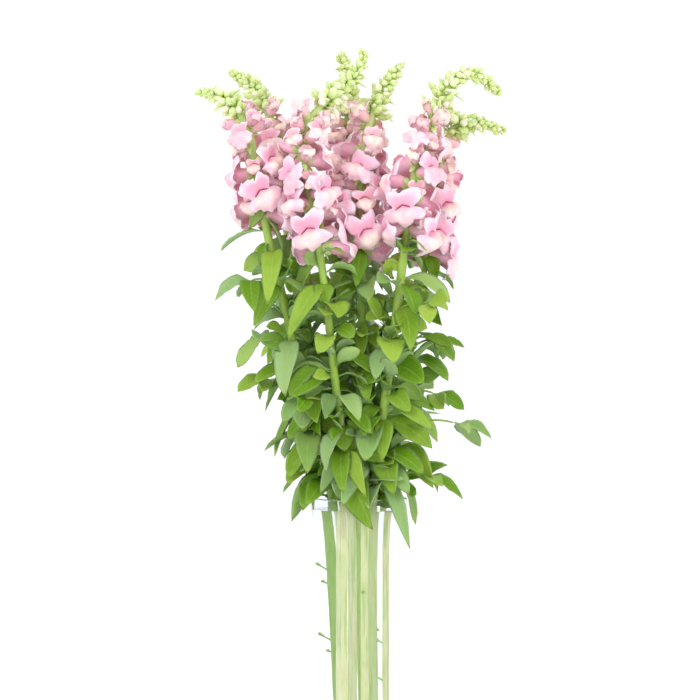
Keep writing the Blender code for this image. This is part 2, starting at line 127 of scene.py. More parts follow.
# Leaves, from the vase's rim up to the florets. A leaf's reach is how far out it would go without its droop.
LEAF_SPACING = 11.3 * MM
LEAF_START = VASE_HEIGHT - 12 * MM
LEAF_REACHES = (58 * MM, 44 * MM)
LEAF_WIDTHS = (32 * MM, 26 * MM)
LEAF_ROOT = 2 * MM
LEAF_TRIES = 40
# Places along a blade, and its share of the full width and its depth at the midrib. Both ends are points.
LEAF_SECTIONS = ((0.32, 1.0, 1.8 * MM), (0.66, 0.8, 1.2 * MM))
# How far a leaf turns its upper face to the front, where the light is, and how much leaves differ in that
LEAF_TURN = 0.9
LEAF_ROLL = 0.6

# Leaves that show in front: stem, height, compass angle (0 is +X), rise, reach, width, droop
PLACED_LEAVES = [
    ("right", 285, -49, 17, 44, 18, 1.9), ("centre", 385, -95, 20, 34, 23, 1.5),
    ("right", 330, -80, 10, 36, 21, 1.3), ("bent", 300, -110, 15, 40, 20, 1.2),
    ("bent", 375, 190, 25, 48, 18, 0.5), ("far_left", 300, 215, 20, 48, 20, 0.9),
]

# Side shoots: stem, height in millimetres where it leaves the stem, compass angle, length
SHOOTS = [
    ("far_left", 468, 188, 32), ("far_left", 350, 178, 38), ("far_left", 398, 184, 30),
    ("left", 400, 120, 44), ("bent", 330, 200, 40), ("centre_back", 400, 80, 46), ("right", 440, -35, 40),
    ("far_right", 312, 2, 66), ("far_right", 262, -12, 42), ("far_right", 404, 6, 30),
    ("far_right", 352, -14, 34),
]
SHOOT_WIDTH = 1.9 * MM
SHOOT_LEAVES = 3
SHOOT_LEAF_REACH = 33 * MM
SHOOT_LEAF_WIDTH = 17 * MM

# A floret in millimetres: angle from straight up as seen from in front, radius, reach from the stem.
# Two lobes stand up and three spread below, and the deep notches between them are the mouth's corners.
FLORET_RIM = [
    (0, 12, 19), (16, 17, 18), (48, 16, 18), (74, 8, 19), (94, 14, 24),
    (128, 15, 25), (150, 11, 26), (165, 15, 26), (195, 15, 26), (210, 11, 26),
    (232, 15, 25), (266, 14, 24), (286, 8, 19), (312, 16, 18), (344, 17, 18),
]
FLORET_ROOT = [(0, 0, 0.5)]
FLORET_NECK = [(angle, 4.2, 11) for angle in (0, 72, 144, 216, 288)]
FLORET_MOUTH = [(angle, 5.5, 25) for angle in (0, 72, 144, 216, 288)]
FLORET_PALATE = [(0, 0, 28)]


class Route:
    """A smooth line through a stem's waypoints, read by its length from the cut end."""

    def __init__(self, waypoints, first_floret, bud_length, girth):
        self.girth = girth
        knots = [Vector(point) * MM for point in waypoints]
        before = [2 * knots[0] - knots[1], *knots[:-1]]
        after = [*knots[1:], 2 * knots[-1] - knots[-2]]
        ways = [(b - a).normalized() for a, b in zip(before, after)]
        self.points = [knots[0]]
        for i, (start, end) in enumerate(zip(knots, knots[1:])):
            third = (end - start).length / 3
            handles = start + ways[i] * third, end - ways[i + 1] * third
            self.points += interpolate_bezier(start, *handles, end, LINE_STEPS)[1:]
        self.marks = [0.0]
        for start, end in zip(self.points, self.points[1:]):
            self.marks.append(self.marks[-1] + (end - start).length)
        self.length = self.marks[-1]
        self.bloom_start = self.at_height(first_floret * MM)
        self.bloom_end = self.length - bud_length * MM

    def step(self, distance):
        last = len(self.marks) - 2
        return next((i for i in range(last) if self.marks[i + 1] >= distance), last)

    def at(self, distance):
        i = self.step(distance)
        share = (distance - self.marks[i]) / (self.marks[i + 1] - self.marks[i])
        return self.points[i].lerp(self.points[i + 1], share)

    def heading(self, distance):
        i = self.step(distance)
        low, high = max(i - 1, 0), min(i + 2, len(self.points) - 1)
        return (self.points[high] - self.points[low]).normalized()

    def at_height(self, height):
        """The length along the stem at which it first reaches a height."""
        return next(mark for mark, point in zip(self.marks, self.points) if point.z >= height)

    def across(self, distance, angle):
        """A unit vector square to the stem, at a compass angle about it."""
        heading = self.heading(distance)
        side = DEPTH.cross(heading).normalized()
        return side * math.cos(angle) + heading.cross(side) * math.sin(angle)

    def outward(self, distance, angle, rise, up=None):
        """A unit vector off the stem at a compass angle, which rises along the stem or another way up."""
        up = self.heading(distance) if up is None else up
        return (self.across(distance, angle) * math.cos(rise) + up * math.sin(rise)).normalized()

    def radius(self, distance):
        """The stem tapers from its cut end to its tip, faster along the buds."""
        foot, low, high, tip = (radius * self.girth for radius in STEM_RADII)
        start, end = self.bloom_start, self.bloom_end
        if distance < start:
            return mix((foot, low), distance / start)
        if distance < end:
            return mix((low, high), (distance - start) / (end - start))
        return mix((high, tip), (distance - end) / (self.length - end))

    def ring(self, distance, radius):
        """Corners round the stem. The cut end is flat, as it stands on the vase's floor."""
        centre = self.at(distance)
        turns = [math.tau * side / STEM_SIDES for side in range(STEM_SIDES)]
        points = [centre + self.across(distance, turn) * radius for turn in turns]
        return [Vector((p.x, p.y, centre.z)) for p in points] if distance == 0 else points


def mix(pair, share):
    """The value that share of the way from the first of a pair to the second."""
    return pair[0] + (pair[1] - pair[0]) * share


def spread(low, high, count):
    """Evenly spaced values from low to high."""
    return [low + (high - low) * i / (count - 1) for i in range(count)]


def loft(rings):
    """Corners and triangles of one closed solid through rings of points. Rings may differ in count, and
    a ring of one point is a tip."""
    corners, faces, starts = [], [], []
    for ring in rings:
        starts.append(len(corners))
        corners += ring
    for k, (near, far) in enumerate(zip(rings, rings[1:])):
        faces += zipped(starts[k], len(near), starts[k + 1], len(far))
    first = [starts[0] + i for i in range(len(rings[0]))]
    last = [starts[-1] + i for i in range(len(rings[-1]))]
    faces += [(first[0], first[i + 1], first[i]) for i in range(1, len(first) - 1)]
    faces += [(last[0], last[i], last[i + 1]) for i in range(1, len(last) - 1)]
    return corners, faces


def zipped(near, near_count, far, far_count):
    """Triangles between two rings, given the first index and the count of each."""
    faces, i, j = [], 0, 0
    while i < near_count or j < far_count:
        a, b = near + i % near_count, far + j % far_count
        near_is_next = (i + 0.5) * far_count <= (j + 0.5) * near_count
        if j == far_count or (i < near_count and near_is_next):
            if near_count > 1:
                faces.append((a, near + (i + 1) % near_count, b))
            i += 1
        else:
            if far_count > 1:
                faces.append((a, far + (j + 1) % far_count, b))
            j += 1
    return faces


def leaf(root, out, reach, width, droop, roll, margin=0.0):
    """A lance-shaped leaf with a keeled midrib, which leaves its root along out and arches over by its own
    weight. Its corners run the way round that lets the twisted blade bulge and not cut into its keel."""
    side = out.cross(UP)
    side = (side if side.length > 0.05 else DEPTH.copy()).normalized()
    rings = [[root - out * LEAF_ROOT]]
    for place, share, depth in LEAF_SECTIONS:
        centre = root + out * reach * place - UP * droop * reach * place * place
        heading = (out - UP * 2 * droop * place).normalized()
        upper = side.cross(heading).normalized()
        turn = roll * math.sqrt(place)
        across = side * math.cos(turn) + upper * math.sin(turn)
        half = across * (width / 2 * share + margin)
        keel = heading.cross(across).normalized() * (depth + margin)
        ring = [centre - half - keel * 0.3, centre + half - keel * 0.3, centre + keel * 0.7]
        rings.append(ring if roll < 0 else ring[::-1])
    heading = (out - UP * 2 * droop).normalized()
    rings.append([root + out * reach - UP * droop * reach + heading * margin])
    return loft(rings)


def floret(root, out, up, size, margin=0.0):
    """A two-lipped floret: a tube that flares into two upper and three lower lobes round a swollen palate."""
    side = out.cross(up).normalized()
    up = side.cross(out).normalized()

    def placed(ring):
        spots = []
        for angle, radius, reach in ring:
            turn = math.radians(angle)
            away = (radius * size + margin / MM) * MM
            along = (reach * size + margin / MM) * MM
            spots.append(root + out * along + up * away * math.cos(turn) + side * away * math.sin(turn))
        return spots

    return loft([placed(r) for r in (FLORET_ROOT, FLORET_NECK, FLORET_RIM, FLORET_MOUTH, FLORET_PALATE)])


def bud(root, out, length, width, margin=0.0):
    """A closed bud, plump near its base and pointed at its tip."""
    side = (out.cross(UP) if abs(out.z) < 0.9 else out.cross(DEPTH)).normalized()
    up = side.cross(out)
    waist = root + out * length * 0.6
    turns = [math.tau * turn / 3 for turn in range(3)]
    belt = [waist + (up * math.cos(t) + side * math.sin(t)) * (width / 2 + margin) for t in turns]
    return loft([[root], belt, [root + out * (length + margin)]])


def stalk(root, tip, width, margin=0.0):
    """The thin three-sided stalk of a side shoot, bowed a little upwards."""
    rings = []
    side = (tip - root).cross(UP).normalized()
    for place in (0.0, 0.5, 1.0):
        centre = root.lerp(tip, place) + UP * 0.14 * (tip - root).length * math.sin(math.pi * place)
        half = width / 2 + margin
        rings.append([centre + UP * half, centre + side * half, centre - (UP + side) * half * 0.7])
    return loft(rings)


class Bunch:
    """Everything grown so far, kept to see whether a new piece would touch another plant's."""

    def __init__(self):
        self.grown = []

    def add(self, solid, owner):
        corners, faces = solid
        low = Vector(map(min, zip(*corners)))
        high = Vector(map(max, zip(*corners)))
        self.grown.append((low, high, BVHTree.FromPolygons(corners, faces, all_triangles=True), owner))

    def clear(self, solid, *owners):
        """Whether a solid touches nothing but what it grows from."""
        corners, faces = solid
        low = Vector(map(min, zip(*corners)))
        high = Vector(map(max, zip(*corners)))
        tree = None
        for its_low, its_high, its_tree, its_owner in self.grown:
            if its_owner in owners:
                continue
            if any(high[k] < its_low[k] or low[k] > its_high[k] for k in range(3)):
                continue
            tree = tree or BVHTree.FromPolygons(corners, faces, all_triangles=True)
            if tree.overlap(its_tree):
                return False
        return True

    def takes(self, shape, plan, owner, *others):
        """Adds a shape as planned where it is clear, with room round it, of all but its owner and others."""
        if not self.clear(shape(*plan, margin=ROOM), owner, *others):
            return False
        self.add(shape(*plan), owner)
        return True


def stem_marks(route):
    """Where a stem's rings stand: far apart low down, closer along the florets and round the bent tip."""
    start, end = route.bloom_start, route.bloom_end
    return [*spread(0, start, 8), *spread(start, end, 6)[1:], *spread(end, route.length, 7)[1:]]


def stem_tube(route, margin=0.0):
    marks = stem_marks(route)
    return loft([route.ring(mark, route.radius(mark) + margin) for mark in marks])


def sleeve_tube(route):
    """The pink skin round the stem that carries the florets. Its rings are the stem's own."""
    marks = [mark for mark in stem_marks(route) if route.bloom_start <= mark <= route.bloom_end]
    return loft([route.ring(mark, route.radius(mark) + GAP + SLEEVE_WALL) for mark in marks])


def in_turn(routes, start, end, spacing):
    """Every stem's repeats from the lowest up, plant by plant: name, share of the way up, and number."""
    turns = []
    for name, route in routes.items():
        count = round((end(route) - start(route)) / spacing)
        turns += [(order / (count - 1), name, order) for order in range(count)]
    return [(name, share, order) for share, name, order in sorted(turns)]


def grow_floret(bunch, rng, name, route, share, order):
    """One floret, turned and shrunk until it is clear of the others, or None."""
    distance = mix((route.bloom_start + 8 * MM, route.bloom_end - 4 * MM), share)
    for attempt in range(FLORET_TRIES):
        wobble = math.radians(4 + 2.2 * attempt)
        angle = GOLDEN_ANGLE * order + rng.uniform(-wobble, wobble)
        rise = mix(FLORET_RISES, share) + rng.uniform(-wobble, wobble) * 0.5
        size = mix(FLORET_SIZES, share) * (1 - 0.009 * attempt)
        plan = (route.at(distance), route.outward(distance, angle, rise), route.heading(distance), size)
        if bunch.takes(floret, plan, "bloom_" + name, "stem_" + name):
            return plan
    return None


def grow_bud(bunch, rng, name, route, share, order):
    """One closed bud, turned until it is clear of the other plants, or None."""
    distance = mix((route.bloom_end + 7 * MM, route.length), share)
    for attempt in range(BUD_TRIES):
        wobble = math.radians(8 + 6 * attempt)
        angle = GOLDEN_ANGLE * order + rng.uniform(-wobble, wobble)
        rise = math.radians(28 + 42 * share) + rng.uniform(-wobble, wobble) * 0.3
        reach = route.radius(distance) + mix(BUD_LENGTHS, share)
        plan = (route.at(distance), route.outward(distance, angle, rise), reach, mix(BUD_WIDTHS, share))
        if bunch.takes(bud, plan, "stem_" + name):
            return plan
    return None


def grow_leaf(bunch, rng, name, route, share, order):
    """One leaf, turned and shrunk until it is clear of the other plants, or None."""
    distance = mix((route.at_height(LEAF_START), route.bloom_start - BARE_STEM), share)
    for attempt in range(LEAF_TRIES):
        wobble = math.radians(10 + 4 * attempt)
        angle = GOLDEN_ANGLE * order + rng.uniform(-wobble, wobble)
        rise = math.radians(rng.uniform(5, 50))
        shrink = 1 - 0.009 * attempt
        reach = mix(LEAF_REACHES, share) * rng.uniform(0.75, 1.15) * shrink
        width = mix(LEAF_WIDTHS, share) * rng.uniform(0.75, 1.1) * shrink
        out = route.outward(distance, angle, rise, UP)
        droop, roll = rng.uniform(0.45, 1.35), rng.uniform(-LEAF_ROLL, LEAF_ROLL) - LEAF_TURN * out.x
        plan = (route.at(distance), out, reach, width, droop, roll)
        if bunch.takes(leaf, plan, "stem_" + name):
            return plan
    return None


def place_leaf(bunch, name, route, height, compass, rise, reach, width, droop):
    """One of the leaves that are placed one by one."""
    turn, lift = math.radians(compass), math.radians(rise)
    out = Vector((math.cos(turn) * math.cos(lift), math.sin(turn) * math.cos(lift), math.sin(lift)))
    plan = (route.at(route.at_height(height * MM)), out, reach * MM, width * MM, droop, -LEAF_TURN * out.x)
    return plan if bunch.takes(leaf, plan, "stem_" + name) else None


def grow_shoot(bunch, rng, name, route, height, compass, length):
    """A stalk with a tuft of small leaves at its end: its own plan, then its leaves' plans."""
    root = route.at(route.at_height(height * MM))
    for attempt in range(LEAF_TRIES):
        wobble = math.radians(3 + 2.5 * attempt)
        angle = math.radians(compass) + rng.uniform(-wobble, wobble)
        flat = Vector((math.cos(angle), math.sin(angle), rng.uniform(0.0, 0.5))).normalized()
        tip = root + flat * length * MM
        plan = (root, tip, SHOOT_WIDTH)
        tuft = []
        for turn in spread(-1.2, 1.2, SHOOT_LEAVES):
            heading = angle + turn + rng.uniform(-0.2, 0.2)
            out = Vector((math.cos(heading), math.sin(heading), rng.uniform(-0.4, 0.4))).normalized()
            size = rng.uniform(0.8, 1.2)
            tuft.append((tip - flat * SHOOT_WIDTH, out, SHOOT_LEAF_REACH * size, SHOOT_LEAF_WIDTH * size,
                         rng.uniform(0.2, 0.9), rng.uniform(-0.4, 0.4) - LEAF_TURN * out.x))
        solids = [stalk(*plan, margin=ROOM), *(leaf(*p, margin=ROOM) for p in tuft)]
        if all(bunch.clear(solid, "stem_" + name) for solid in solids):
            for solid in [stalk(*plan), *(leaf(*p) for p in tuft)]:
                bunch.add(solid, "stem_" + name)
            return plan, tuft
    return None, []


def vase_profile():
    """The solid glass from the centre of its foot, up the outside, over the rim and down the inside. Here it
    is only kept clear of, as the water's profile is."""
    outer, inner = VASE_RADIUS, VASE_RADIUS - VASE_WALL
    edge = VASE_EDGE
    return [(0, 0), (outer - edge, 0), (outer, edge), (outer, VASE_HEIGHT - edge),
            (outer - edge, VASE_HEIGHT), (inner + edge, VASE_HEIGHT), (inner, VASE_HEIGHT - edge),
            (inner, VASE_BASE + edge), (inner - edge, VASE_BASE), (0, VASE_BASE)]


def water_profile():
    radius, floor = VASE_RADIUS - VASE_WALL - GAP, VASE_BASE + GAP
    return [(0, floor), (radius - VASE_EDGE, floor), (radius, floor + VASE_EDGE), (radius, WATER_LEVEL),
            (0, WATER_LEVEL)]


def turned(profile, sides):
    """A closed solid turned about Z from a profile of radius and height that starts and ends on the axis."""
    rings = []
    for radius, height in profile:
        if radius == 0:
            rings.append([Vector((0, 0, height))])
            continue
        turns = [math.tau * side / sides for side in range(sides)]
        rings.append([Vector((radius * math.cos(t), radius * math.sin(t), height)) for t in turns])
    return loft(rings)


def plan_growth(routes):
    """Places every floret, bud, shoot and leaf, plant by plant in turn, each clear of the rest."""
    rng = random.Random(SEED)
    bunch = Bunch()
    bunch.add(turned(vase_profile(), VASE_SIDES), "vase")
    bunch.add(turned(water_profile(), VASE_SIDES), "water")
    plans = {name: {"florets": [], "buds": [], "stalks": [], "leaves": []} for name in routes}
    for name, route in routes.items():
        bunch.add(stem_tube(route, GAP), "stem_" + name)
        bunch.add(sleeve_tube(route), "stem_" + name)
    for name, *turn in in_turn(routes, lambda r: r.bloom_start, lambda r: r.bloom_end, FLORET_SPACING):
        plans[name]["florets"].append(grow_floret(bunch, rng, name, routes[name], *turn))
    for name, *turn in in_turn(routes, lambda r: r.bloom_end, lambda r: r.length, BUD_SPACING):
        plans[name]["buds"].append(grow_bud(bunch, rng, name, routes[name], *turn))
    for name, *place in PLACED_LEAVES:
        plans[name]["leaves"].append(place_leaf(bunch, name, routes[name], *place))
    for name, height, compass, length in SHOOTS:
        plan, tuft = grow_shoot(bunch, rng, name, routes[name], height, compass, length)
        plans[name]["stalks"].append(plan)
        plans[name]["leaves"] += tuft
    for name, *turn in in_turn(routes, lambda r: LEAF_START, lambda r: r.bloom_start, LEAF_SPACING):
        plans[name]["leaves"].append(grow_leaf(bunch, rng, name, routes[name], *turn))
    return plans, bunch, rng


# Between the leaves of the part's rule, smaller ones. The upper ones are thinned out by half, and a leaf with
# no room is still kept where it stands well above the vase.
FILLER_TRIES = 12
THINNED_FROM = 0.62
CROWDED_FROM = VASE_HEIGHT + 45 * MM

# Between the open florets, a smaller one for each of these lengths of stem, which needs room for this share
# of its size
FILLER_FLORET_SPACING = 10.5 * MM
FILLER_FLORET_SIZES = (1.0, 0.78)
FILLER_FLORET_ROOM = 0.62

# Closed buds at the tips, between those of the part's rule
TIP_BUD_SPACING = 1.25 * MM
TIP_BUD_LENGTHS = (19 * MM, 7.5 * MM)
TIP_BUD_WIDTHS = (9.4 * MM, 6 * MM)

# Leaves narrower than this, most of them on side shoots, are widened a little
SMALL_LEAF = 21 * MM
BRACT_WIDTH = 5.5 * MM
LEAF_KNOT = 0.7 * MM

# How pale each stem's foot is in the water, from dark green to cream
PALENESS = {
    "far_left": 0.0, "left": 0.9, "bent": 0.6, "centre_back": 0.2, "centre": 0.85, "right": 0.4,
    "far_right": 0.75,
}

# Stubs of stripped leaves in the water: stem, height in millimetres, compass angle, length
STUBS = [
    ("far_left", 172, 185, 14), ("far_left", 150, 170, 9), ("far_left", 92, 190, 15),
    ("far_left", 74, 175, 8), ("far_right", 96, 185, 9), ("far_right", 60, 190, 12), ("centre", 140, 240, 6),
    ("right", 110, 20, 6),
]
# A stub's radii in millimetres, from its tip to its root
STUB_RADII = (0, 1.9, 1.4, 0.9, 0.8, 0.9, 1.1, 1.5, 0)

# Leaves that hang over the vase's rim: stem, height in millimetres, compass angle, rise, reach, width, droop,
# roll
HUNG_LEAVES = [
    ("right", 266, -38, 0.35, 53, 17, 1.6, -0.9),
]

# Sides and rings of the form that each kind of piece is copied from
GRIDS = {
    "stalk": (16, 112), "stub": (8, 8), "leaf": (8, 12), "twig": (8, 12), "bud": (10, 8), "tip_bract": (8, 7),
    "calyx": (30, 8), "bract": (10, 8), "floret": (52, 22), "filler_floret": (32, 15),
}
TURNED_SIDES = 96

# Fine forms of the vase and water: the lip, the inner and outer rounding of the foot, a ring close to each
# rounding, a ring half way up, the hollow below the foot, and how far the water laps into the glass
LIP_RADIUS = 1.5 * MM
TOE_RADIUS = 4 * MM
HEEL_RADIUS = 2.5 * MM
RING_MARGIN = 0.6 * MM
WALL_MIDDLE = 120 * MM
FOOT_HOLLOW = 1.8 * MM
WATER_LAP = 0.15 * MM

# Stage
FLOOR_RADIUS = 9
SKY_STRENGTH = 1.08
CAMERA_SIDE = -9.4 * MM
SENSOR_WIDTH = 36
LIGHT_BOUNCES = 32
# Area lights: name, place, the point it is aimed at, power and width
LIGHTS = [
    ("key", (-1.3, -1.9, 2.0), (0, 0, 0.45), 24, 1.4),
    ("fill", (1.6, -1.7, 1.1), (0, 0, 0.45), 13, 1.4),
    ("back", (0.6, 1.9, 1.8), (0, 0, 0.5), 14, 1.2),
]


# Sizes and colours that a user would change

def size_setting(name, text, default):
    return bpy.props.FloatProperty(name=name, description=text, default=default, unit="LENGTH", precision=4)


def colour_setting(name, text, default):
    return bpy.props.FloatVectorProperty(
        name=name, description=text, default=default, size=3, min=0, max=1, subtype="COLOR")


class SNAPDRAGON_PG_sizes(bpy.types.PropertyGroup):
    """Sizes of the fine forms."""

    petal_ruffle: size_setting("Petal ruffle", "How far a lobe's edge waves in and out", 0.9 * MM)
    leaf_thickness: size_setting("Leaf thickness", "Thickness of a blade at its midrib", 1.0 * MM)
    leaf_wave: size_setting("Leaf wave", "How far a blade's edge waves up and down", 0.9 * MM)
    leaf_fold: bpy.props.FloatProperty(
        name="Leaf fold", description="How far both halves of a blade rise from its midrib",
        default=math.radians(17), subtype="ANGLE")
    bract_reach: size_setting("Bract length", "Length of the small leaf under each floret", 14 * MM)
    filler_length: size_setting("Filler leaf length", "Length of the leaves between the large ones", 50 * MM)
    filler_width: size_setting("Filler leaf width", "Width of the leaves between the large ones", 25 * MM)
    filler_spacing: size_setting("Filler leaf spacing", "How far apart they leave a stem", 4.6 * MM)
    frame_width: size_setting("Frame width", "Width of the picture where the vase stands", 0.729)
    camera_distance: size_setting("Camera distance", "From the vase's axis to the camera", 2.5)
    camera_height: size_setting("Camera height", "Height of the level camera over the floor", 0.4035)


class SNAPDRAGON_PG_colours(bpy.types.PropertyGroup):
    """Colours of the finishes."""

    lobe: colour_setting("Petal lobe", "The face of a petal's lobe", (0.87, 0.49, 0.63))
    lobe_deep: colour_setting("Petal shade", "The deeper colour of some florets", (0.76, 0.34, 0.47))
    edge: colour_setting("Petal edge", "The pale rim of a lobe", (0.94, 0.72, 0.79))
    throat: colour_setting("Throat", "Inside the mouth", (0.74, 0.30, 0.40))
    palate: colour_setting("Palate", "The swollen, nearly white lower lip", (0.90, 0.75, 0.70))
    palate_spot: colour_setting("Palate spot", "The yellow spot on the palate's top", (0.90, 0.72, 0.42))
    tube_base: colour_setting("Tube base", "The greenish white base of a floret's tube", (0.72, 0.62, 0.42))
    fresh: colour_setting("Young petal", "A floret that is only half open", (0.86, 0.72, 0.50))
    leaf: colour_setting("Leaf", "The upper face of a leaf", (0.12, 0.26, 0.004))
    leaf_light: colour_setting("Young leaf", "The leaves that lean to yellow", (0.30, 0.44, 0.05))
    leaf_under: colour_setting("Leaf underside", "The bluish underside of a leaf", (0.32, 0.47, 0.22))
    vein: colour_setting("Vein", "The midrib and side veins", (0.36, 0.50, 0.12))
    stem: colour_setting("Stem", "A stem among its leaves and florets", (0.27, 0.42, 0.045))
    stem_dark: colour_setting("Green stem foot", "The foot of the greenest stems", (0.36, 0.58, 0.12))
    stem_stain: colour_setting("Stem stain", "Faded patches on a pale foot", (0.70, 0.58, 0.34))
    stem_foot: colour_setting("Stem foot", "The pale foot of a stem", (0.93, 0.92, 0.58))
    bud: colour_setting("Bud", "A closed bud", (0.57, 0.69, 0.30))
    bud_shade: colour_setting("Bud shade", "The greener buds and sepals", (0.52, 0.66, 0.17))
    bud_tip: colour_setting("Bud tip", "The pale petals that show at a bud's tip", (0.84, 0.87, 0.66))
    glass: colour_setting("Glass", "The vase", (0.955, 0.98, 1.0))
    water: colour_setting("Water", "The water", (1.0, 1.0, 1.0))
    floor: colour_setting("Floor", "The plain floor", (0.96, 0.96, 0.96))


def sizes():
    return bpy.context.scene.snapdragon_sizes


def colours():
    return bpy.context.scene.snapdragon_colours


def filler_leaf(bunch, rng, name, route, share, order):
    """A shorter leaf on its own thin stalk, in the room between the large ones, or among them where there is
    none. Close to the vase it is left out there, so that it doesn't cut the glass."""
    if share > THINNED_FROM and order % 2:
        return None
    distance = mix((route.at_height(LEAF_START + 8 * MM), route.bloom_start + 12 * MM), share)
    for attempt in range(FILLER_TRIES):
        wobble = math.radians(20 + 8 * attempt)
        angle = GOLDEN_ANGLE * (order + 0.5) + rng.uniform(-wobble, wobble)
        rise, droop, neck = math.radians(rng.uniform(-5, 65)), rng.uniform(0.1, 1.8), rng.uniform(0.12, 0.42)
        length = sizes().filler_length * rng.uniform(0.75, 1.2) * (0.8 + neck) * mix((1.15, 0.85), share)
        # The reach of an arch that is this long along its own curve
        reach = length / (math.hypot(0.5, droop) + math.asinh(2 * droop) / (4 * droop))
        width = sizes().filler_width * rng.uniform(0.6, 1.15) * mix((1.1, 0.9), share)
        out = route.outward(distance, angle, rise, UP)
        roll = rng.uniform(-1, 1) - LEAF_TURN * out.x
        plan = (route.at(distance), out, reach, width, droop, roll)
        if bunch.clear(leaf(*plan), "stem_" + name):
            bunch.add(leaf(*plan), "filler")
            return *plan, neck
    return (*plan, neck) if plan[0].z > CROWDED_FROM else None


def filler_floret(bunch, rng, name, route, share, order):
    """A smaller floret between two others of its own stem."""
    distance = mix((route.bloom_start + 12 * MM, route.bloom_end + 4 * MM), share)
    size = mix(FILLER_FLORET_SIZES, share)
    for attempt in range(FILLER_TRIES):
        wobble, rise = math.radians(20 + 14 * attempt), mix(FLORET_RISES, share) + rng.uniform(-0.3, 0.3)
        angle = GOLDEN_ANGLE * (order * 1.5 + 0.7) + rng.uniform(-wobble, wobble)
        out, heading = route.outward(distance, angle, rise), route.heading(distance)
        plan = (route.at(distance), out, heading, size * rng.uniform(0.85, 1.0))
        solid = floret(*plan[:3], plan[3] * FILLER_FLORET_ROOM)
        if bunch.clear(solid, "stem_" + name):
            bunch.add(solid, "bloom_" + name)
            return *plan, "filler"
    return None


@functools.cache
def growth():
    """Every stem's route, and the place of each floret, bud and leaf on it."""
    routes = {name: Route(waypoints, *FLOWERING[name]) for name, waypoints in STEMS.items()}
    plans, bunch, rng = plan_growth(routes)
    spacing = sizes().filler_spacing
    for name, *turn in in_turn(routes, lambda r: LEAF_START, lambda r: r.bloom_start, spacing):
        plans[name]["leaves"].append(filler_leaf(bunch, rng, name, routes[name], *turn))
    spacing = FILLER_FLORET_SPACING
    for name, *turn in in_turn(routes, lambda r: r.bloom_start, lambda r: r.bloom_end, spacing):
        plans[name]["florets"].append(filler_floret(bunch, rng, name, routes[name], *turn))
    return routes, plans


# Finishes

class Value:
    """A value in a finish's nodes. Arithmetic on it adds Math nodes."""

    def __init__(self, finish, socket):
        self.finish, self.socket = finish, socket

    def maths(self, operation, *others, clamp=False):
        values = dict(enumerate([self, *others]))
        return self.finish.node("ShaderNodeMath", {"operation": operation, "use_clamp": clamp}, values)

    def __add__(self, other):
        return self.maths("ADD", other)

    def __mul__(self, other):
        return self.maths("MULTIPLY", other)

    def __sub__(self, other):
        return self.maths("SUBTRACT", other)

    def __rsub__(self, other):
        return self.finish.node("ShaderNodeMath", {"operation": "SUBTRACT"}, {0: other, 1: self})

    __radd__, __rmul__ = __add__, __mul__

    def step(self, low, high):
        """0 below low, 1 above high and smooth between them."""
        settings = {"interpolation_type": "SMOOTHSTEP"}
        return self.finish.node("ShaderNodeMapRange", settings, {"Value": self, 1: low, 2: high})


class Finish:
    """A material in the making, around its Principled shader."""

    def __init__(self, name, **constants):
        self.material = bpy.data.materials.new(name)
        self.material.use_nodes = True
        self.tree = self.material.node_tree
        self.shader = self.tree.nodes["Principled BSDF"]
        for socket, value in constants.items():
            self.give(self.shader.inputs[socket.replace("_", " ")], value)

    def give(self, socket, value):
        if isinstance(value, Value):
            self.tree.links.new(value.socket, socket)
        elif socket.type == "RGBA" and len(value) == 3:
            socket.default_value = (*value, 1)
        else:
            socket.default_value = value

    def node(self, kind, settings, values, output=0):
        """Adds a node of a kind, first its settings and then the values or links of its sockets."""
        node = self.tree.nodes.new(kind)
        for name, setting in settings.items():
            setattr(node, name, setting)
        for name, value in values.items():
            self.give(node.inputs[name], value)
        return Value(self, node.outputs[output])

    def attribute(self, name, output="Fac"):
        return self.node("ShaderNodeAttribute", {"attribute_name": name}, {}, output)

    def split(self, vector):
        return [self.node("ShaderNodeSeparateXYZ", {}, {0: vector}, axis) for axis in range(3)]

    def point(self, x, y, z):
        return self.node("ShaderNodeCombineXYZ", {}, {0: x, 1: y, 2: z})

    def place(self):
        return self.node("ShaderNodeTexCoord", {}, {}, "Object")

    def noise(self, vector, scale, detail=2.0):
        return self.node("ShaderNodeTexNoise", {}, {"Vector": vector, "Scale": scale, "Detail": detail})

    def layered(self, base, *layers):
        """A base colour under others, each laid over it in turn by its own factor from 0 to 1."""
        settings = {"data_type": "RGBA", "clamp_factor": True}
        for factor, colour in layers:
            base = self.node("ShaderNodeMix", settings, {0: factor, 6: base, 7: colour}, 2)
        return base

    def bump(self, height, strength, distance):
        return self.node("ShaderNodeBump", {}, {"Height": height, "Strength": strength, "Distance": distance})

    def wear(self, **values):
        """Links what varies over the surface to the shader, and returns the material."""
        for socket, value in values.items():
            self.give(self.shader.inputs[socket.replace("_", " ")], value)
        return self.material


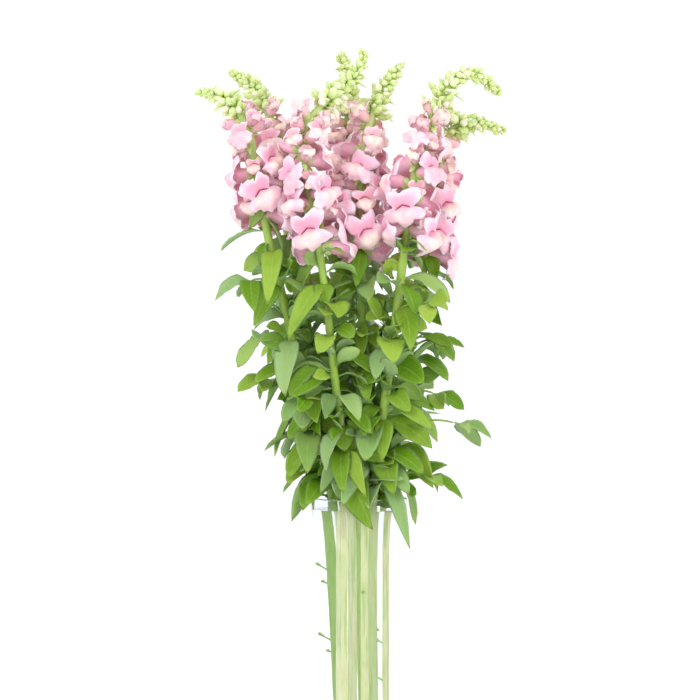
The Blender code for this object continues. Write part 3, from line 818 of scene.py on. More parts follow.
def petal_finish():
    """Pink petals with a rose throat, a nearly white palate, pale rims that are partly painted highlight, a
    deeper pink towards the throat that is partly painted shade, and fine veins.
    """
    tints = colours()
    finish = Finish("petal", Subsurface_Weight=0.45, Subsurface_Radius=(1.0, 0.5, 0.5),
                    Subsurface_Scale=0.005)
    x, y, along = finish.split(finish.attribute("place", "Vector"))
    tone, fresh, palate = (finish.attribute(name) for name in ("tone", "fresh", "palate"))
    angle = finish.node("ShaderNodeMath", {"operation": "ARCTAN2"}, {0: x, 1: y})
    veins = finish.noise(finish.point(angle * 7, along * 3, tone * 9), 2.6, 3.0)
    cloud = finish.noise(finish.place(), 55.0)
    deep = (tone * 0.75 + cloud * 0.7 - 0.35).step(0.3, 0.95)
    # The pale rim is partly the lobe's own pale margin and partly a painted highlight.
    rim = along.step(0.30, 0.47) * (1 - along.step(0.50, 0.60))
    # Deeper pink towards the throat: partly the petals' own colour, partly painted shade where the lobes fold
    # into the mouth.
    fold = (1 - along.step(0.24, 0.38)) * (1 - palate) * 0.45
    spot = palate * (1 - along.step(0.15, 0.22))
    base = finish.layered(
        tints.lobe,
        (deep * 0.8, tints.lobe_deep),
        (rim * 0.85, tints.edge),
        (veins.step(0.48, 0.70) * 0.38 + fold, tints.lobe_deep),
        ((1 - along.step(0.08, 0.19)) * 0.6, tints.throat),
        (palate * 0.92, tints.palate),
        (spot * 0.7, tints.palate_spot),
        (along.step(0.74, 0.98) * 0.6, tints.tube_base),
        (fresh * 0.5, tints.fresh))
    grain = finish.noise(finish.place(), 900.0)
    relief = finish.bump(veins * 0.8 + grain * 0.2, 0.35, 0.0006)
    return finish.wear(Base_Color=base, Roughness=0.46 + 0.18 * grain, Normal=relief)


def leaf_finish():
    """Green blades with a light midrib and side veins above, and a bluish underside."""
    tints = colours()
    finish = Finish("leaf", Specular_IOR_Level=0.25, Subsurface_Weight=0.12,
                    Subsurface_Radius=(0.5, 1.0, 0.2), Subsurface_Scale=0.002)
    across, along, under = finish.split(finish.attribute("place", "Vector"))
    tone, cool = finish.attribute("tone"), finish.attribute("cool")
    off = across.maths("ABSOLUTE")
    cloud = finish.noise(finish.place(), 38.0, 3.0)
    rib = 1 - off.step(0.02, 0.11)
    slant = (along * 9 - off * 2.2).maths("FRACT")
    side = (1 - (slant - 0.5).maths("ABSOLUTE").step(0.02, 0.16)) * (1 - off.step(0.6, 1.0))
    lines = (rib * 0.75 + side * 0.28).maths("MINIMUM", 1.0)
    base = finish.layered(
        tints.leaf,
        ((tone * 0.8 + cloud * 0.5 - 0.2).step(0.2, 0.95), tints.leaf_light),
        (under * 0.6 + cool * 0.8, tints.leaf_under),
        (lines * 0.4, tints.vein),
        (along.step(0.86, 1.0) * 0.4, tints.leaf_light))
    relief = finish.bump(1 - lines + cloud * 0.3, 0.5, 0.0007)
    return finish.wear(Base_Color=base, Roughness=0.40 + 0.25 * cloud + 0.1 * under, Normal=relief)


def stem_finish():
    """A smooth green stem, streaked along its length, that pales towards its foot. Below the water the foot
    has a faint painted glow, an emission that stands in for the light that the water gathers."""
    tints = colours()
    # The emission strength paints a glow on the stem's foot, though the stem is no lamp.
    finish = Finish("stem", Emission_Strength=0.32, Subsurface_Weight=0.12,
                    Subsurface_Radius=(0.6, 1.0, 0.3), Subsurface_Scale=0.002)
    x, y, z = finish.split(finish.place())
    tone = finish.attribute("tone")
    streak = finish.noise(finish.point(x * 420, y * 420, z * 14), 1.0, 3.0)
    patch = finish.noise(finish.point(x * 90, y * 90, z * 22), 1.0, 2.0)
    foot = 1 - z.step(0.20, 0.36)
    base = finish.layered(
        tints.stem,
        (z.step(0.46, 0.62) * 0.65, tints.bud),
        (foot * (1 - tone), tints.stem_dark),
        (foot * tone, tints.stem_foot),
        (streak.step(0.48, 0.62) * 0.4, tints.stem),
        (patch.step(0.5, 0.65) * 0.3, tints.stem_dark),
        ((1 - patch).step(0.53, 0.66) * tone * 0.6, tints.stem_stain))
    relief = finish.bump(streak, 0.4, 0.0006)
    black = (0, 0, 0)
    # Painted glow: the stem's own colour given off as light, weaker on the greener feet and none above the
    # water.
    painted_glow = finish.layered(base, ((1 - tone) * 0.4, black), (z.step(0.225, 0.25), black))
    return finish.wear(Base_Color=base, Roughness=0.38 + 0.2 * streak, Normal=relief, Emission_Color=painted_glow)


def bud_finish():
    """Yellow-green buds and sepals, with painted shade in their grooves, some with pale petals at the tip."""
    tints = colours()
    finish = Finish("bud", Subsurface_Weight=0.2, Subsurface_Radius=(0.7, 1.0, 0.3), Subsurface_Scale=0.002)
    groove_shade, along, open_tip = finish.split(finish.attribute("place", "Vector"))
    tone = finish.attribute("tone")
    cloud = finish.noise(finish.place(), 160.0)
    base = finish.layered(
        tints.bud_shade,
        (tone * 0.7 + cloud * 0.6 - 0.2, tints.bud),
        # Painted shade: the grooves between a bud's ribs and between the sepals are mixed towards the dark
        # leaf green.
        (groove_shade * 0.12, tints.leaf),
        (along.step(0.5, 1.0) * 0.35, tints.bud_tip),
        (open_tip * along.step(0.45, 0.8), tints.bud_tip),
        (open_tip * along.step(0.3, 0.6) * tone.step(0.55, 0.65) * 0.8, tints.palate))
    relief = finish.bump(cloud, 0.4, 0.0005)
    return finish.wear(Base_Color=base, Roughness=0.42 + 0.2 * cloud, Normal=relief)


def glass_finish():
    """Clear glass with a trace of unevenness. It bends light as little as the water does, so that its wall
    nearly vanishes."""
    finish = Finish("glass", Base_Color=colours().glass, Transmission_Weight=1.0, IOR=1.33)
    wave = finish.noise(finish.place(), 18.0)
    return finish.wear(Roughness=0.004 + 0.01 * wave, Normal=finish.bump(wave, 0.05, 0.0005))


def water_finish():
    """Clear water, hardly moved."""
    finish = Finish("water", Base_Color=colours().water, Transmission_Weight=1.0, IOR=1.33)
    wave = finish.noise(finish.place(), 26.0)
    return finish.wear(Roughness=0.004 * wave, Normal=finish.bump(wave, 0.04, 0.0004))


def floor_finish():
    """A plain white floor, faintly uneven."""
    finish = Finish("floor")
    cloud = finish.noise(finish.place(), 3.0)
    base = finish.layered(colours().floor, (cloud * 0.1, (0.9, 0.9, 0.9)))
    return finish.wear(Base_Color=base, Roughness=0.7 + 0.1 * cloud)


@functools.cache
def finish_named(name):
    makers = {
        "petal": petal_finish, "leaf": leaf_finish, "stem": stem_finish, "bud": bud_finish,
        "glass": glass_finish, "water": water_finish, "floor": floor_finish,
    }
    return makers[name]()


# Modelling

def bend(keys, values, x):
    """A smooth curve through values at keys, read at x. The keys rise, and x stays between them."""
    keys, values = np.asarray(keys, float), np.asarray(values, float).reshape(len(keys), -1)
    slopes = np.gradient(values, keys, axis=0)
    i = np.clip(np.searchsorted(keys, x, side="right") - 1, 0, len(keys) - 2)
    span = (keys[i + 1] - keys[i])[:, None]
    t = (x - keys[i])[:, None] / span
    sum_of_parts = (values[i] * (1 + 2 * t) * (1 - t) ** 2 + values[i + 1] * t * t * (3 - 2 * t)
                    + slopes[i] * span * t * (1 - t) ** 2 - slopes[i + 1] * span * t * t * (1 - t))
    return sum_of_parts.squeeze()


def strung(controls, place):
    """Points on smooth curves through rows of controls, one column for each point, read at a place from 0 to
    the last row."""
    last = len(controls) - 1
    i = np.clip(place.astype(int), 0, last - 1)
    t = (place - i)[:, None]
    column = np.arange(len(place))
    before, near = controls[np.maximum(i - 1, 0), column], controls[i, column]
    far, after = controls[i + 1, column], controls[np.minimum(i + 2, last), column]
    return 0.5 * (2 * near + (far - before) * t + (2 * before - 5 * near + 4 * far - after) * t ** 2
                  + (3 * near - before - 3 * far + after) * t ** 3)


def eased(x, low, high):
    """0 below low, 1 above high and smooth between them."""
    t = np.clip((x - low) / (high - low), 0, 1)
    return t * t * (3 - 2 * t)


def ripple(rng, turn, waves, height):
    """A wave round an edge, different on each copy."""
    total = np.zeros_like(turn)
    for count in waves:
        total += rng.uniform(0.4, 1.0) * np.cos(count * turn + rng.uniform(0, math.tau))
    return total * height / len(waves)


class Form:
    """A round form of a few rings, shaped by formula and copied, each copy with its own mesh. Its first pole
    is turned to the front or the tip."""

    def __init__(self, sides, rings):
        bpy.ops.object.select_all(action="DESELECT")
        bpy.ops.mesh.primitive_uv_sphere_add(segments=sides, ring_count=rings, radius=1, calc_uvs=False)
        self.master = bpy.context.active_object
        points = np.empty(len(self.master.data.vertices) * 3)
        self.master.data.vertices.foreach_get("co", points)
        x, y, z = points.reshape(-1, 3).T
        self.turn = np.where(np.abs(z) > 0.99999, 0, np.arctan2(y, x) % math.tau)
        self.along = np.round(np.arccos(np.clip(z, -1, 1)) / math.pi * rings) / rings
        self.copies = []

    def grow(self, points, place, **values):
        """Adds a copy with its points, the place of each on its own form, and one value for each name."""
        copy = self.master.copy()
        copy.data = self.master.data.copy()
        copy.data.vertices.foreach_set("co", np.ascontiguousarray(points, np.float32).ravel())
        spots = copy.data.attributes.new("place", "FLOAT_VECTOR", "POINT")
        spots.data.foreach_set("vector", np.ascontiguousarray(place, np.float32).ravel())
        for name, value in values.items():
            layer = copy.data.attributes.new(name, "FLOAT", "POINT")
            layer.data.foreach_set("value", np.broadcast_to(value, len(self.turn)).astype(np.float32))
        bpy.context.scene.collection.objects.link(copy)
        self.copies.append(copy)


def gather(name, forms, material, slot, *nodes):
    """Joins every form's copies into one smooth piece that stands for CAD nodes."""
    bpy.ops.object.select_all(action="DESELECT")
    copies = [copy for form in forms for copy in form.copies]
    if not copies:
        raise RuntimeError("nothing has grown for " + name)
    for copy in copies:
        copy.select_set(True)
    bpy.context.view_layer.objects.active = copies[0]
    bpy.ops.object.join()
    piece = bpy.context.active_object
    piece.name = piece.data.name = name
    bpy.ops.object.shade_smooth()
    piece.data.materials.clear()
    piece.data.materials.append(finish_named(material))
    for form in forms:
        bpy.data.objects.remove(form.master)
    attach(piece, "root")
    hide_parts(*nodes)
    return piece


def rows(vectors):
    """Vectors as the rows of an array."""
    return np.array([tuple(vector) for vector in vectors])


# Controls of a floret in millimetres, from its throat over the rim and back along the tube. FLORET_FACE
# gives radius and reach at four of them for each angle from straight up, and both sides are alike.
FLORET_FACE = [
    (0, 8.0, 20.5, 10.5, 20.8, 12.0, 20.6, 13.0, 19.6),
    (16, 8.5, 20.6, 12.2, 20.6, 15.2, 19.8, 17.2, 17.8),
    (35, 9.0, 20.3, 13.2, 20.0, 16.8, 18.4, 18.8, 15.6),
    (56, 8.8, 20.0, 12.2, 19.6, 15.2, 18.4, 16.8, 16.2),
    (74, 7.2, 20.2, 7.8, 19.8, 8.4, 19.2, 8.9, 18.4),
    (90, 8.2, 24.0, 10.2, 23.2, 12.0, 22.4, 13.4, 21.0),
    (112, 8.6, 26.4, 11.2, 25.0, 14.0, 23.8, 16.2, 21.4),
    (135, 8.4, 27.2, 10.8, 25.6, 13.0, 24.2, 14.8, 22.0),
    (150, 8.2, 27.4, 10.0, 25.8, 11.0, 24.8, 11.8, 23.6),
    (165, 8.4, 27.0, 10.8, 25.2, 13.2, 23.4, 15.0, 20.8),
    (180, 8.4, 26.6, 11.0, 24.8, 14.0, 22.8, 16.0, 19.8),
]
FLORET_CREST = [(0, 20.0), (56, 20.2), (74, 20.8), (90, 23.8), (112, 27.0), (135, 28.6), (152, 29.0),
                (168, 28.4), (180, 27.8)]


def mirrored(table, turn):
    """A table by angle for one side, read at each turn round both."""
    whole = [*table, *((360 - row[0], *row[1:]) for row in reversed(table[:-1]))]
    return bend([math.radians(row[0]) for row in whole], [row[1:] for row in whole], turn)


def floret_points(form, rng, root, out, up, size, closed):
    """A two-lipped floret: two broad lobes above, three below round the swollen palate, and the tube behind.
    Returns its points, their place on the floret, and how far each is on the palate."""
    turn = form.turn
    tilt = Vector((rng.uniform(-0.35, 0.35), rng.uniform(-0.35, 0.35), rng.uniform(-0.3, 0.2)))
    out = (out + tilt * (1 - closed)).normalized()
    side = out.cross(up + tilt.cross(out)).normalized()
    up = (side.cross(out) + side * rng.uniform(-0.45, 0.45)).normalized()
    side = out.cross(up)
    bent = (turn + ripple(rng, turn, (1, 2, 3), 0.3)) % math.tau
    face, crest = mirrored(FLORET_FACE, bent).T, mirrored(FLORET_CREST, bent)
    crest = crest - rng.uniform(0.5, 2.5) * np.exp(-((turn - math.pi) / 0.3) ** 2)
    below = eased(-np.cos(turn), -0.35, 0.1)
    curl = mix((rng.uniform(-3, 2), rng.uniform(-5, 2)), below)
    swing = curl + ripple(rng, turn, (1, 2, 3, 5), 5.0)
    ruffle = ripple(rng, turn, (5, 7, 9, 12), sizes().petal_ruffle / MM * 4.0)
    grown = ripple(rng, turn, (1, 2, 3, 5), 0.42) + ripple(rng, turn, (9, 13, 18), 0.1)
    arch = 2.6 * np.abs(np.sin(turn)) - rng.uniform(-0.6, 0.6) * np.sin(turn)
    shut = closed * (0.5 + 0.2 * below)

    def ring(radius, reach, lift=0.0, flat=1.0):
        parts = radius * np.sin(turn), radius * flat * np.cos(turn) + lift, reach
        return np.stack(np.broadcast_arrays(*parts), 1)

    edge = []
    for k, share in enumerate(spread(0, 1, 4)):
        radius = face[2 * k] * (1 + grown * share) * (1 - shut * (0.25 + 0.75 * share))
        reach = face[2 * k + 1] + swing * share + ruffle * share ** 2 + closed * 5 * share * (1 - 0.8 * below)
        edge.append((radius, reach))
    # Inside the mouth, over the palate, out along the lobes, and back behind them and along the tube
    controls = [
        ring(0, 14.5, 4), ring(4.4, 15, 4.4 - arch, 0.12), ring(6.4, 21 - 2 * np.cos(turn), 4.4 - arch, 0.06),
        ring(7.4, crest, 1.8, 0.55),
        ring(*edge[0], 0.4), ring(*edge[1]), ring(*edge[2]), ring(*edge[3]),
        ring(edge[3][0] - 0.5, edge[3][1] - 0.8), ring(edge[2][0] - 0.4, edge[2][1] - 1.3),
        ring(edge[1][0] - 1.0, edge[1][1] - 2.2),
        ring(np.minimum(7.0 + below, face[0] - 1), 15.5 + 2.5 * below),
        ring(6.0, 11), ring(4.8, 6.5), ring(3.2, 3), ring(0, 1.8),
    ]
    place = form.along * (len(controls) - 1)
    x, y, z = strung(np.array(controls), place).T
    frame_of = np.array([tuple(side), tuple(up), tuple(out)]) * size * MM
    points = np.array(tuple(root)) + np.stack([x, y, z], 1) @ frame_of
    palate = below * eased(place, 2.0, 3.0) * (1 - eased(place, 4.2, 5.8))
    return points, np.stack([x / 17, y / 17, form.along], 1), palate


def blade_points(form, rng, root, out, reach, width, droop, roll, neck=0.1):
    """A leaf that leaves its root along out and arches over by its own weight, folded along its midrib."""
    turn, t = form.turn, form.along
    side = out.cross(UP)
    side = np.array((side if side.length > 0.05 else DEPTH.copy()).normalized())
    out, up = np.array(out), np.array(UP)
    sway = rng.uniform(-0.35, 0.35)
    spine = (np.array(root) + reach * (t[:, None] * out + (t * t)[:, None] * (sway * side - droop * up)))
    heading = out + (2 * t)[:, None] * (sway * side - droop * up)
    heading /= np.linalg.norm(heading, axis=1)[:, None]
    square = side - (heading @ side)[:, None] * heading
    square /= np.linalg.norm(square, axis=1)[:, None]
    upper = np.cross(square, heading)
    twist = (roll * np.sqrt(t) + rng.uniform(-0.9, 0.9) * t * t)[:, None]
    across = square * np.cos(twist) + upper * np.sin(twist)
    normal = np.cross(across, heading)
    v, face = np.cos(turn), np.sin(turn)
    belly, fullness = rng.uniform(0.72, 1.15), rng.uniform(0.5, 0.9)
    fullness = 1.15 + (fullness - 1.15) * eased(t, 0.1, 0.55)
    grown = np.sin(math.pi * np.clip((t - neck) / (1 - neck), 0, 1) ** belly) ** fullness
    petiole = eased(grown, 0.1, 0.6)
    half = np.maximum(width * 0.53 * grown, 0.8 * MM * ((t > 0) & (t < 0.99)))
    fold = sizes().leaf_fold * rng.uniform(0.5, 1.5)
    wave = ripple(rng, t * math.tau + np.sign(v) * 1.3, (2, 3, 5), sizes().leaf_wave * 2)
    rise = np.abs(v) * half * math.sin(fold) + wave * v * v * petiole * np.sin(math.pi * t)
    depth = sizes().leaf_thickness / 2 * (1 - 0.4 * v * v * petiole) + 0.5 * MM * (1 - petiole)
    depth = depth * np.sin(math.pi * np.clip(t * 0.96 + 0.02, 0, 1)) ** 0.5
    points = (spine + across * (v * half * math.cos(fold))[:, None]
              + normal * (rise + np.sign(face) * np.abs(face) ** 0.6 * depth)[:, None])
    return points, np.stack([v, t, eased(-face, -0.1, 0.1)], 1)


def tube_points(form, centres, headings, radii):
    """A tube round a line that is given for each ring from its tip to its foot."""
    ring = np.round(form.along * (len(centres) - 1)).astype(int)
    sides = np.array([tuple(DEPTH.cross(heading).normalized()) for heading in headings])
    backs = np.cross(rows(headings), sides)
    turned = sides[ring] * np.cos(form.turn)[:, None] + backs[ring] * np.sin(form.turn)[:, None]
    return rows(centres)[ring] + turned * np.asarray(radii)[ring][:, None]


def pod_points(form, root, out, length, width, neck=0.25, ribs=0.14):
    """A plump closed bud on a short neck, with five ribs."""
    side = (out.cross(UP) if abs(out.z) < 0.9 else out.cross(DEPTH)).normalized()
    up = side.cross(out)
    reach = 1 - form.along
    belly = np.sin(math.pi * np.clip((reach - neck) / (1 - neck), 0, 1) ** 0.75) ** 0.75
    rib = np.cos(5 * form.turn)
    radius = np.maximum(width / 2 * belly * (1 + ribs * rib), 0.9 * MM * ((reach > 0) & (reach < 0.9)))
    turned = np.outer(np.cos(form.turn), up) + np.outer(np.sin(form.turn), side)
    points = np.array(root) + np.outer(reach * length, out) + turned * radius[:, None]
    # The second value marks the grooves between the ribs, where painted shade goes.
    return points, np.clip(0.5 - rib * 0.5, 0, 1), reach


def calyx_points(form, root, out, up, size):
    """The five sepals that clasp the foot of a floret's tube."""
    turn = form.turn
    side = out.cross(up).normalized()
    up = side.cross(out).normalized()
    lobe = np.abs(np.cos(2.5 * turn)) ** 1.4
    # Radius and reach in millimetres, from inside the cup over its edge and back along its outside
    steps = [(0, 4.0), (3.7, 4.4), (5.2, 7.0), (5.9, 7.6 + 2.2 * lobe), (6.3, 8.0 + 3.2 * lobe),
             (6.2, 7.6 + 2.2 * lobe), (5.6, 6.6), (3.6, 3.4), (0, 1.4)]
    controls = [np.stack(np.broadcast_arrays(radius + 0 * turn, reach), 1) for radius, reach in steps]
    radius, reach = strung(np.array(controls), form.along * (len(controls) - 1)).T
    turned = np.outer(np.cos(turn), up) + np.outer(np.sin(turn), side)
    points = np.array(root) + (np.outer(reach, out) + turned * radius[:, None]) * size * MM
    # The second value marks the room between the sepals, where painted shade goes.
    return points, 1 - lobe, form.along


def build_stalk(name):
    """One stem, a little swollen where its leaves leave it, with its stubs of stripped leaves."""
    routes, plans = growth()
    route, rng = routes[name], random.Random("stalk " + name)
    form, stubs = Form(*GRIDS["stalk"]), Form(*GRIDS["stub"])
    rings = GRIDS["stalk"][1]
    marks = [route.length * (1 - max(k - 1, 0) / (rings - 2)) for k in range(rings)] + [0.0]
    centres = [route.at(min(mark, route.length)) for mark in marks]
    knots = [route.at_height(plan[0].z) for plan in plans[name]["leaves"] if plan]
    radii = []
    for mark in marks:
        near = min([abs(mark - knot) for knot in knots], default=1.0)
        swell = LEAF_KNOT * math.exp(-(near / (3 * MM)) ** 2)
        fleshy = 1 + 0.3 * float(eased(np.array(mark), route.bloom_start, route.bloom_start + 40 * MM))
        radii.append(route.radius(mark) * fleshy * (1 + rng.uniform(-0.03, 0.03)) + swell)
    radii[0] = radii[-1] = 0
    points = tube_points(form, centres, [route.heading(mark) for mark in marks], radii)
    low = points[:, 2] < VASE_BASE + 2 * MM
    points[low, 2] = np.maximum(points[low, 2], route.points[0].z)
    form.grow(points, np.stack([form.turn / math.tau, form.along, 0 * form.turn], 1), tone=PALENESS[name])
    for height, compass, length in (row[1:] for row in STUBS if row[0] == name):
        turn = math.radians(compass)
        root, way = route.at(route.at_height(height * MM)), Vector((math.cos(turn), math.sin(turn), 0.7))
        centres = [root + way * length * MM * share for share in spread(1, 0, len(STUB_RADII))]
        points = tube_points(stubs, centres, [way] * len(centres), np.array(STUB_RADII) * MM)
        stubs.grow(points, 0 * points, tone=0.1)
    return gather("stalk_" + name, [form, stubs], "stem", "leaf", "stem_" + name)


def build_leaves(name):
    """Every leaf of one stem, and its side shoots."""
    routes, plans = growth()
    plan, route, rng = plans[name], routes[name], random.Random("leaves " + name)
    blades, twigs = Form(*GRIDS["leaf"]), Form(*GRIDS["twig"])
    hung = [row[1:] for row in HUNG_LEAVES if row[0] == name]
    for height, compass, rise, reach, width, droop, roll in hung:
        turn = math.radians(compass)
        out = Vector((math.cos(turn), math.sin(turn), rise)).normalized()
        root = route.at(route.at_height(height * MM))
        points, place = blade_points(blades, rng, root, out, reach * MM, width * MM, droop, roll)
        blades.grow(points, place, tone=0.2, cool=0.8)
    for root, out, reach, width, droop, roll, *neck in filter(None, plan["leaves"]):
        if width < SMALL_LEAF and not neck:
            width, droop = width * 1.15, droop * (0.5 if root.x > 0 else 1.1)
        roll += rng.uniform(-0.4, 0.4)
        points, place = blade_points(blades, rng, root, out, reach, width, droop, roll, *neck)
        # Lower leaves get less of the yellow-green: painted shade that darkens them towards the vase, laid
        # over a tone that differs at random.
        tone = rng.random() * mix((0.7, 1.1), (root.z - VASE_HEIGHT) / VASE_HEIGHT)
        blades.grow(points, place, tone=tone, cool=max(0.0, rng.uniform(-1.6, 1.0)))
    for root, tip, width in filter(None, plan["stalks"]):
        shares = [1 - k / 12 for k in range(13)]
        rise = UP * 0.14 * (tip - root).length
        centres = [root.lerp(tip, s) + rise * math.sin(math.pi * s) for s in shares]
        headings = [(tip - root + rise * math.pi * math.cos(math.pi * s)).normalized() for s in shares]
        radii = [0, *[width * (0.62 - 0.12 * s) for s in shares[1:-1]], 0]
        points = tube_points(twigs, centres, headings, radii)
        place = np.stack([0 * twigs.turn, 0.5 + 0 * twigs.turn, 0 * twigs.turn], 1)
        twigs.grow(points, place, tone=0.9, cool=0)
    return gather("leaves_" + name, [blades, twigs], "leaf", "leaf", "stem_" + name)


def build_buds(name):
    """The closed buds at one stem's tip, with the small bracts among them."""
    routes, plans = growth()
    route, rng = routes[name], random.Random("buds " + name)
    pods, bracts = Form(*GRIDS["bud"]), Form(*GRIDS["tip_bract"])
    planned = [(*plan, 0) for plan in filter(None, plans[name]["buds"])]
    start = route.bloom_end + 2 * MM
    count = round((route.length - start) / TIP_BUD_SPACING)
    for order in range(count):
        share = order / (count - 1)
        distance = mix((start, route.length - 0.5 * MM), share)
        angle = GOLDEN_ANGLE * order + rng.uniform(-0.4, 0.4)
        rise = math.radians(18 + 34 * share + rng.uniform(-14, 14))
        root, out = route.at(distance), route.outward(distance, angle, rise)
        length = mix(TIP_BUD_LENGTHS, share ** 0.7) * rng.uniform(0.5, 1.15)
        width = mix(TIP_BUD_WIDTHS, share) * rng.uniform(0.6, 1.15)
        planned.append((root, out, route.radius(distance) + length, width, share))
        if order % 3 > 0:
            droop, reach = rng.uniform(-0.4, 0.6), route.radius(distance) + length * rng.uniform(0.9, 1.5)
            roll = rng.uniform(-1, 1)
            points, place = blade_points(bracts, rng, root, out, reach, length * 0.6, droop, roll)
            place[:, 0] = 0.2
            place[:, 2] = 0
            bracts.grow(points, place, tone=rng.random())
    for root, out, reach, width, share in planned:
        points, groove_shade, along = pod_points(pods, root, out, reach, width)
        opening = float(rng.random() > 0.5) * (1 - share) ** 1.5
        pods.grow(points, np.stack([groove_shade, along, opening + 0 * along], 1), tone=rng.random())
    return gather("buds_" + name, [pods, bracts], "bud", "leaf", "stem_" + name)


def build_calyces(name):
    """The sepals and the bract at each floret's foot."""
    routes, plans = growth()
    rng = random.Random("calyces " + name)
    cups, bracts = Form(*GRIDS["calyx"]), Form(*GRIDS["bract"])
    for root, out, up, size, *_ in filter(None, plans[name]["florets"]):
        points, groove_shade, along = calyx_points(cups, root, out, up, size)
        cups.grow(points, np.stack([groove_shade, along, 0 * along], 1), tone=rng.random())
        low = (out * 0.8 - up * 0.75).normalized()
        reach = sizes().bract_reach * rng.uniform(0.8, 1.2)
        points, place = blade_points(bracts, rng, root, low, reach, BRACT_WIDTH, rng.uniform(-0.2, 0.4), 0)
        place[:, 2] = 0
        bracts.grow(points, place * (0.3, 1, 1), tone=rng.random())
    return gather("calyces_" + name, [cups, bracts], "bud", "leaf", "stem_" + name)


def build_florets(name):
    """One stem's open florets. The uppermost are only half open and paler."""
    plan, rng = growth()[1][name], random.Random("florets " + name)
    open_form, filler_form = Form(*GRIDS["floret"]), Form(*GRIDS["filler_floret"])
    for root, out, up, size, *filler in filter(None, plan["florets"]):
        form = filler_form if filler else open_form
        share = (size - FLORET_SIZES[1]) / (FLORET_SIZES[0] - FLORET_SIZES[1])
        young = 1 - float(eased(np.array(share), 0.0, 0.35))
        closed = young * rng.uniform(0.4, 0.9)
        points, place, palate = floret_points(form, rng, root, out, up, size * 1.09, closed)
        tone = min(1.0, rng.random() ** 1.4 + 0.2 * young)
        form.grow(points, place, tone=tone, fresh=young * rng.uniform(0.2, 0.9),
                  palate=palate * rng.uniform(0.25, 1.0))
    return gather("florets_" + name, [open_form, filler_form], "petal", "petal", "bloom_" + name)


def turned_piece(name, profile, material, slot, node):
    """A piece turned about Z, through a profile of radius and height from one pole to the other."""
    form = Form(TURNED_SIDES, len(profile) - 1)
    ring = np.round(form.along * (len(profile) - 1)).astype(int)
    radius, height = np.array(profile)[ring].T
    points = np.stack([radius * np.cos(form.turn), radius * np.sin(form.turn), height], 1)
    form.grow(points, np.zeros((len(ring), 3)))
    piece = gather(name, [form], material, slot, node)
    bpy.ops.object.shade_smooth_by_angle(angle=math.radians(40))
    return piece


def rounded(corner_radius, centre, start, end, steps=5):
    """Points on an arc in a profile, from one angle to the other in degrees."""
    turns = [math.radians(mix((start, end), k / (steps - 1))) for k in range(steps)]
    return [(centre[0] + corner_radius * math.cos(t), centre[1] + corner_radius * math.sin(t)) for t in turns]


def build_vase():
    """The glass cylinder, with a rounded lip and a thick foot that is a little hollow below. A ring close to
    each rounding keeps the walls' shading straight."""
    outer, inner = VASE_RADIUS, VASE_RADIUS - VASE_WALL
    lip_start, toe_end = VASE_HEIGHT - LIP_RADIUS, VASE_BASE + TOE_RADIUS
    profile = [(0, VASE_BASE), (inner * 0.5, VASE_BASE), (inner - TOE_RADIUS - RING_MARGIN, VASE_BASE)]
    profile += rounded(TOE_RADIUS, (inner - TOE_RADIUS, toe_end), -90, 0)
    profile += [(inner, toe_end + RING_MARGIN), (inner, WALL_MIDDLE), (inner, lip_start - RING_MARGIN)]
    profile += rounded(LIP_RADIUS, (inner + LIP_RADIUS, lip_start), 180, 0, 9)
    profile += [(outer, lip_start - RING_MARGIN), (outer, WALL_MIDDLE), (outer, HEEL_RADIUS + RING_MARGIN)]
    profile += rounded(HEEL_RADIUS, (outer - HEEL_RADIUS, HEEL_RADIUS), 0, -90)
    profile += [(outer - HEEL_RADIUS - 2 * MM, 0.5 * MM), (outer * 0.5, 1.4 * MM), (0, FOOT_HOLLOW)]
    return turned_piece("glass_vase", profile, "glass", "glass", "vase")


def build_water():
    """The water. Its edge laps a hair into the glass, so that no air shows between them."""
    radius, top, low = VASE_RADIUS - VASE_WALL + WATER_LAP, WATER_LEVEL, VASE_BASE - 0.1 * MM
    profile = [(0, top), (radius * 0.5, top), (radius - RING_MARGIN, top), (radius, top),
               (radius, top - RING_MARGIN), (radius, WALL_MIDDLE), (radius, low + TOE_RADIUS + RING_MARGIN)]
    profile += rounded(TOE_RADIUS, (radius - TOE_RADIUS, low + TOE_RADIUS), 0, -90)
    profile += [(radius - TOE_RADIUS - RING_MARGIN, low), (radius * 0.5, low), (0, low)]
    return turned_piece("vase_water", profile, "water", "water", "water")


def build_stage():
    """A plain white floor, even studio light, and the level camera."""
    bpy.ops.object.select_all(action="DESELECT")
    bpy.ops.mesh.primitive_circle_add(vertices=128, radius=FLOOR_RADIUS, fill_type="NGON")
    floor = bpy.context.active_object
    floor.name = "floor"
    floor.data.materials.append(finish_named("floor"))
    world = bpy.data.worlds.new("studio")
    world.use_nodes = True
    world.node_tree.nodes["Background"].inputs["Color"].default_value = (1, 1, 1, 1)
    world.node_tree.nodes["Background"].inputs["Strength"].default_value = SKY_STRENGTH
    bpy.context.scene.world = world
    for name, place, aim, power, width in LIGHTS:
        bpy.ops.object.light_add(type="AREA", location=place)
        light = bpy.context.active_object
        light.name = light.data.name = name
        light.rotation_euler = (Vector(aim) - Vector(place)).to_track_quat("-Z", "Y").to_euler()
        light.data.energy, light.data.size = power, width
    values = sizes()
    bpy.ops.object.camera_add(location=(CAMERA_SIDE, -values.camera_distance, values.camera_height),
                              rotation=(math.pi / 2, 0, 0))
    camera = bpy.context.active_object
    camera.data.sensor_width = SENSOR_WIDTH
    camera.data.lens = SENSOR_WIDTH * values.camera_distance / values.frame_width
    bpy.context.scene.camera = camera
    bpy.context.scene.view_settings.view_transform = "Standard"
    paths = bpy.context.scene.cycles
    paths.max_bounces = paths.transmission_bounces = paths.glossy_bounces = LIGHT_BOUNCES


# Operators and panel

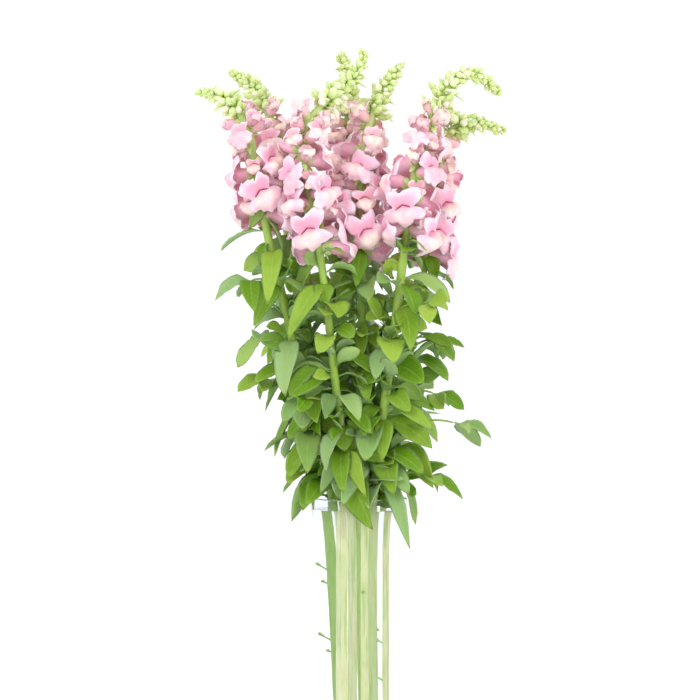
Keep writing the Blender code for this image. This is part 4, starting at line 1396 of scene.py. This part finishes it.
class SNAPDRAGON_OT_stage(bpy.types.Operator):
    """Make the floor, the lights and the camera"""

    bl_idname = "snapdragon.stage"
    bl_label = "Stage"

    def execute(self, context):
        build_stage()
        return {"FINISHED"}


class SNAPDRAGON_OT_vase(bpy.types.Operator):
    """Make the glass cylinder vase"""

    bl_idname = "snapdragon.vase"
    bl_label = "Glass vase"

    def execute(self, context):
        build_vase()
        return {"FINISHED"}


class SNAPDRAGON_OT_water(bpy.types.Operator):
    """Fill the vase with water"""

    bl_idname = "snapdragon.water"
    bl_label = "Water"

    def execute(self, context):
        build_water()
        return {"FINISHED"}


class SNAPDRAGON_OT_stalks(bpy.types.Operator):
    """Grow each flower's stem"""

    bl_idname = "snapdragon.stalks"
    bl_label = "Stems"

    def execute(self, context):
        for name in STEMS:
            build_stalk(name)
        return {"FINISHED"}


class SNAPDRAGON_OT_leaves(bpy.types.Operator):
    """Grow the leaves and side shoots"""

    bl_idname = "snapdragon.leaves"
    bl_label = "Leaves"

    def execute(self, context):
        for name in STEMS:
            build_leaves(name)
        return {"FINISHED"}


class SNAPDRAGON_OT_buds(bpy.types.Operator):
    """Grow the closed buds at the tips"""

    bl_idname = "snapdragon.buds"
    bl_label = "Buds"

    def execute(self, context):
        for name in STEMS:
            build_buds(name)
        return {"FINISHED"}


class SNAPDRAGON_OT_calyces(bpy.types.Operator):
    """Grow the sepals and bracts that hold the florets"""

    bl_idname = "snapdragon.calyces"
    bl_label = "Calyces"

    def execute(self, context):
        for name in STEMS:
            build_calyces(name)
        return {"FINISHED"}


class SNAPDRAGON_OT_florets(bpy.types.Operator):
    """Grow the open florets"""

    bl_idname = "snapdragon.florets"
    bl_label = "Florets"

    def execute(self, context):
        for name in STEMS:
            build_florets(name)
        return {"FINISHED"}


STEPS = (SNAPDRAGON_OT_stage, SNAPDRAGON_OT_vase, SNAPDRAGON_OT_water, SNAPDRAGON_OT_stalks,
         SNAPDRAGON_OT_leaves, SNAPDRAGON_OT_buds, SNAPDRAGON_OT_calyces, SNAPDRAGON_OT_florets)


class SNAPDRAGON_PT_panel(bpy.types.Panel):
    """The sizes, colours and steps of the bunch"""

    bl_idname = "SNAPDRAGON_PT_panel"
    bl_label = "Snapdragons"
    bl_space_type = "VIEW_3D"
    bl_region_type = "UI"
    bl_category = "Snapdragons"

    def draw(self, context):
        for group in (context.scene.snapdragon_sizes, context.scene.snapdragon_colours):
            box = self.layout.box()
            for name in group.__annotations__:
                box.prop(group, name)
        for step in STEPS:
            self.layout.operator(step.bl_idname)


CLASSES = (SNAPDRAGON_PG_sizes, SNAPDRAGON_PG_colours, *STEPS, SNAPDRAGON_PT_panel)


def register():
    for kind in CLASSES:
        bpy.utils.register_class(kind)
    bpy.types.Scene.snapdragon_sizes = bpy.props.PointerProperty(type=SNAPDRAGON_PG_sizes)
    bpy.types.Scene.snapdragon_colours = bpy.props.PointerProperty(type=SNAPDRAGON_PG_colours)


def unregister():
    del bpy.types.Scene.snapdragon_colours
    del bpy.types.Scene.snapdragon_sizes
    for kind in reversed(CLASSES):
        bpy.utils.unregister_class(kind)


def main():
    register()
    ops = bpy.ops.snapdragon
    for step in (ops.stage, ops.vase, ops.water, ops.stalks, ops.leaves, ops.buds, ops.calyces, ops.florets):
        step()


if __name__ == "__main__":
    main()
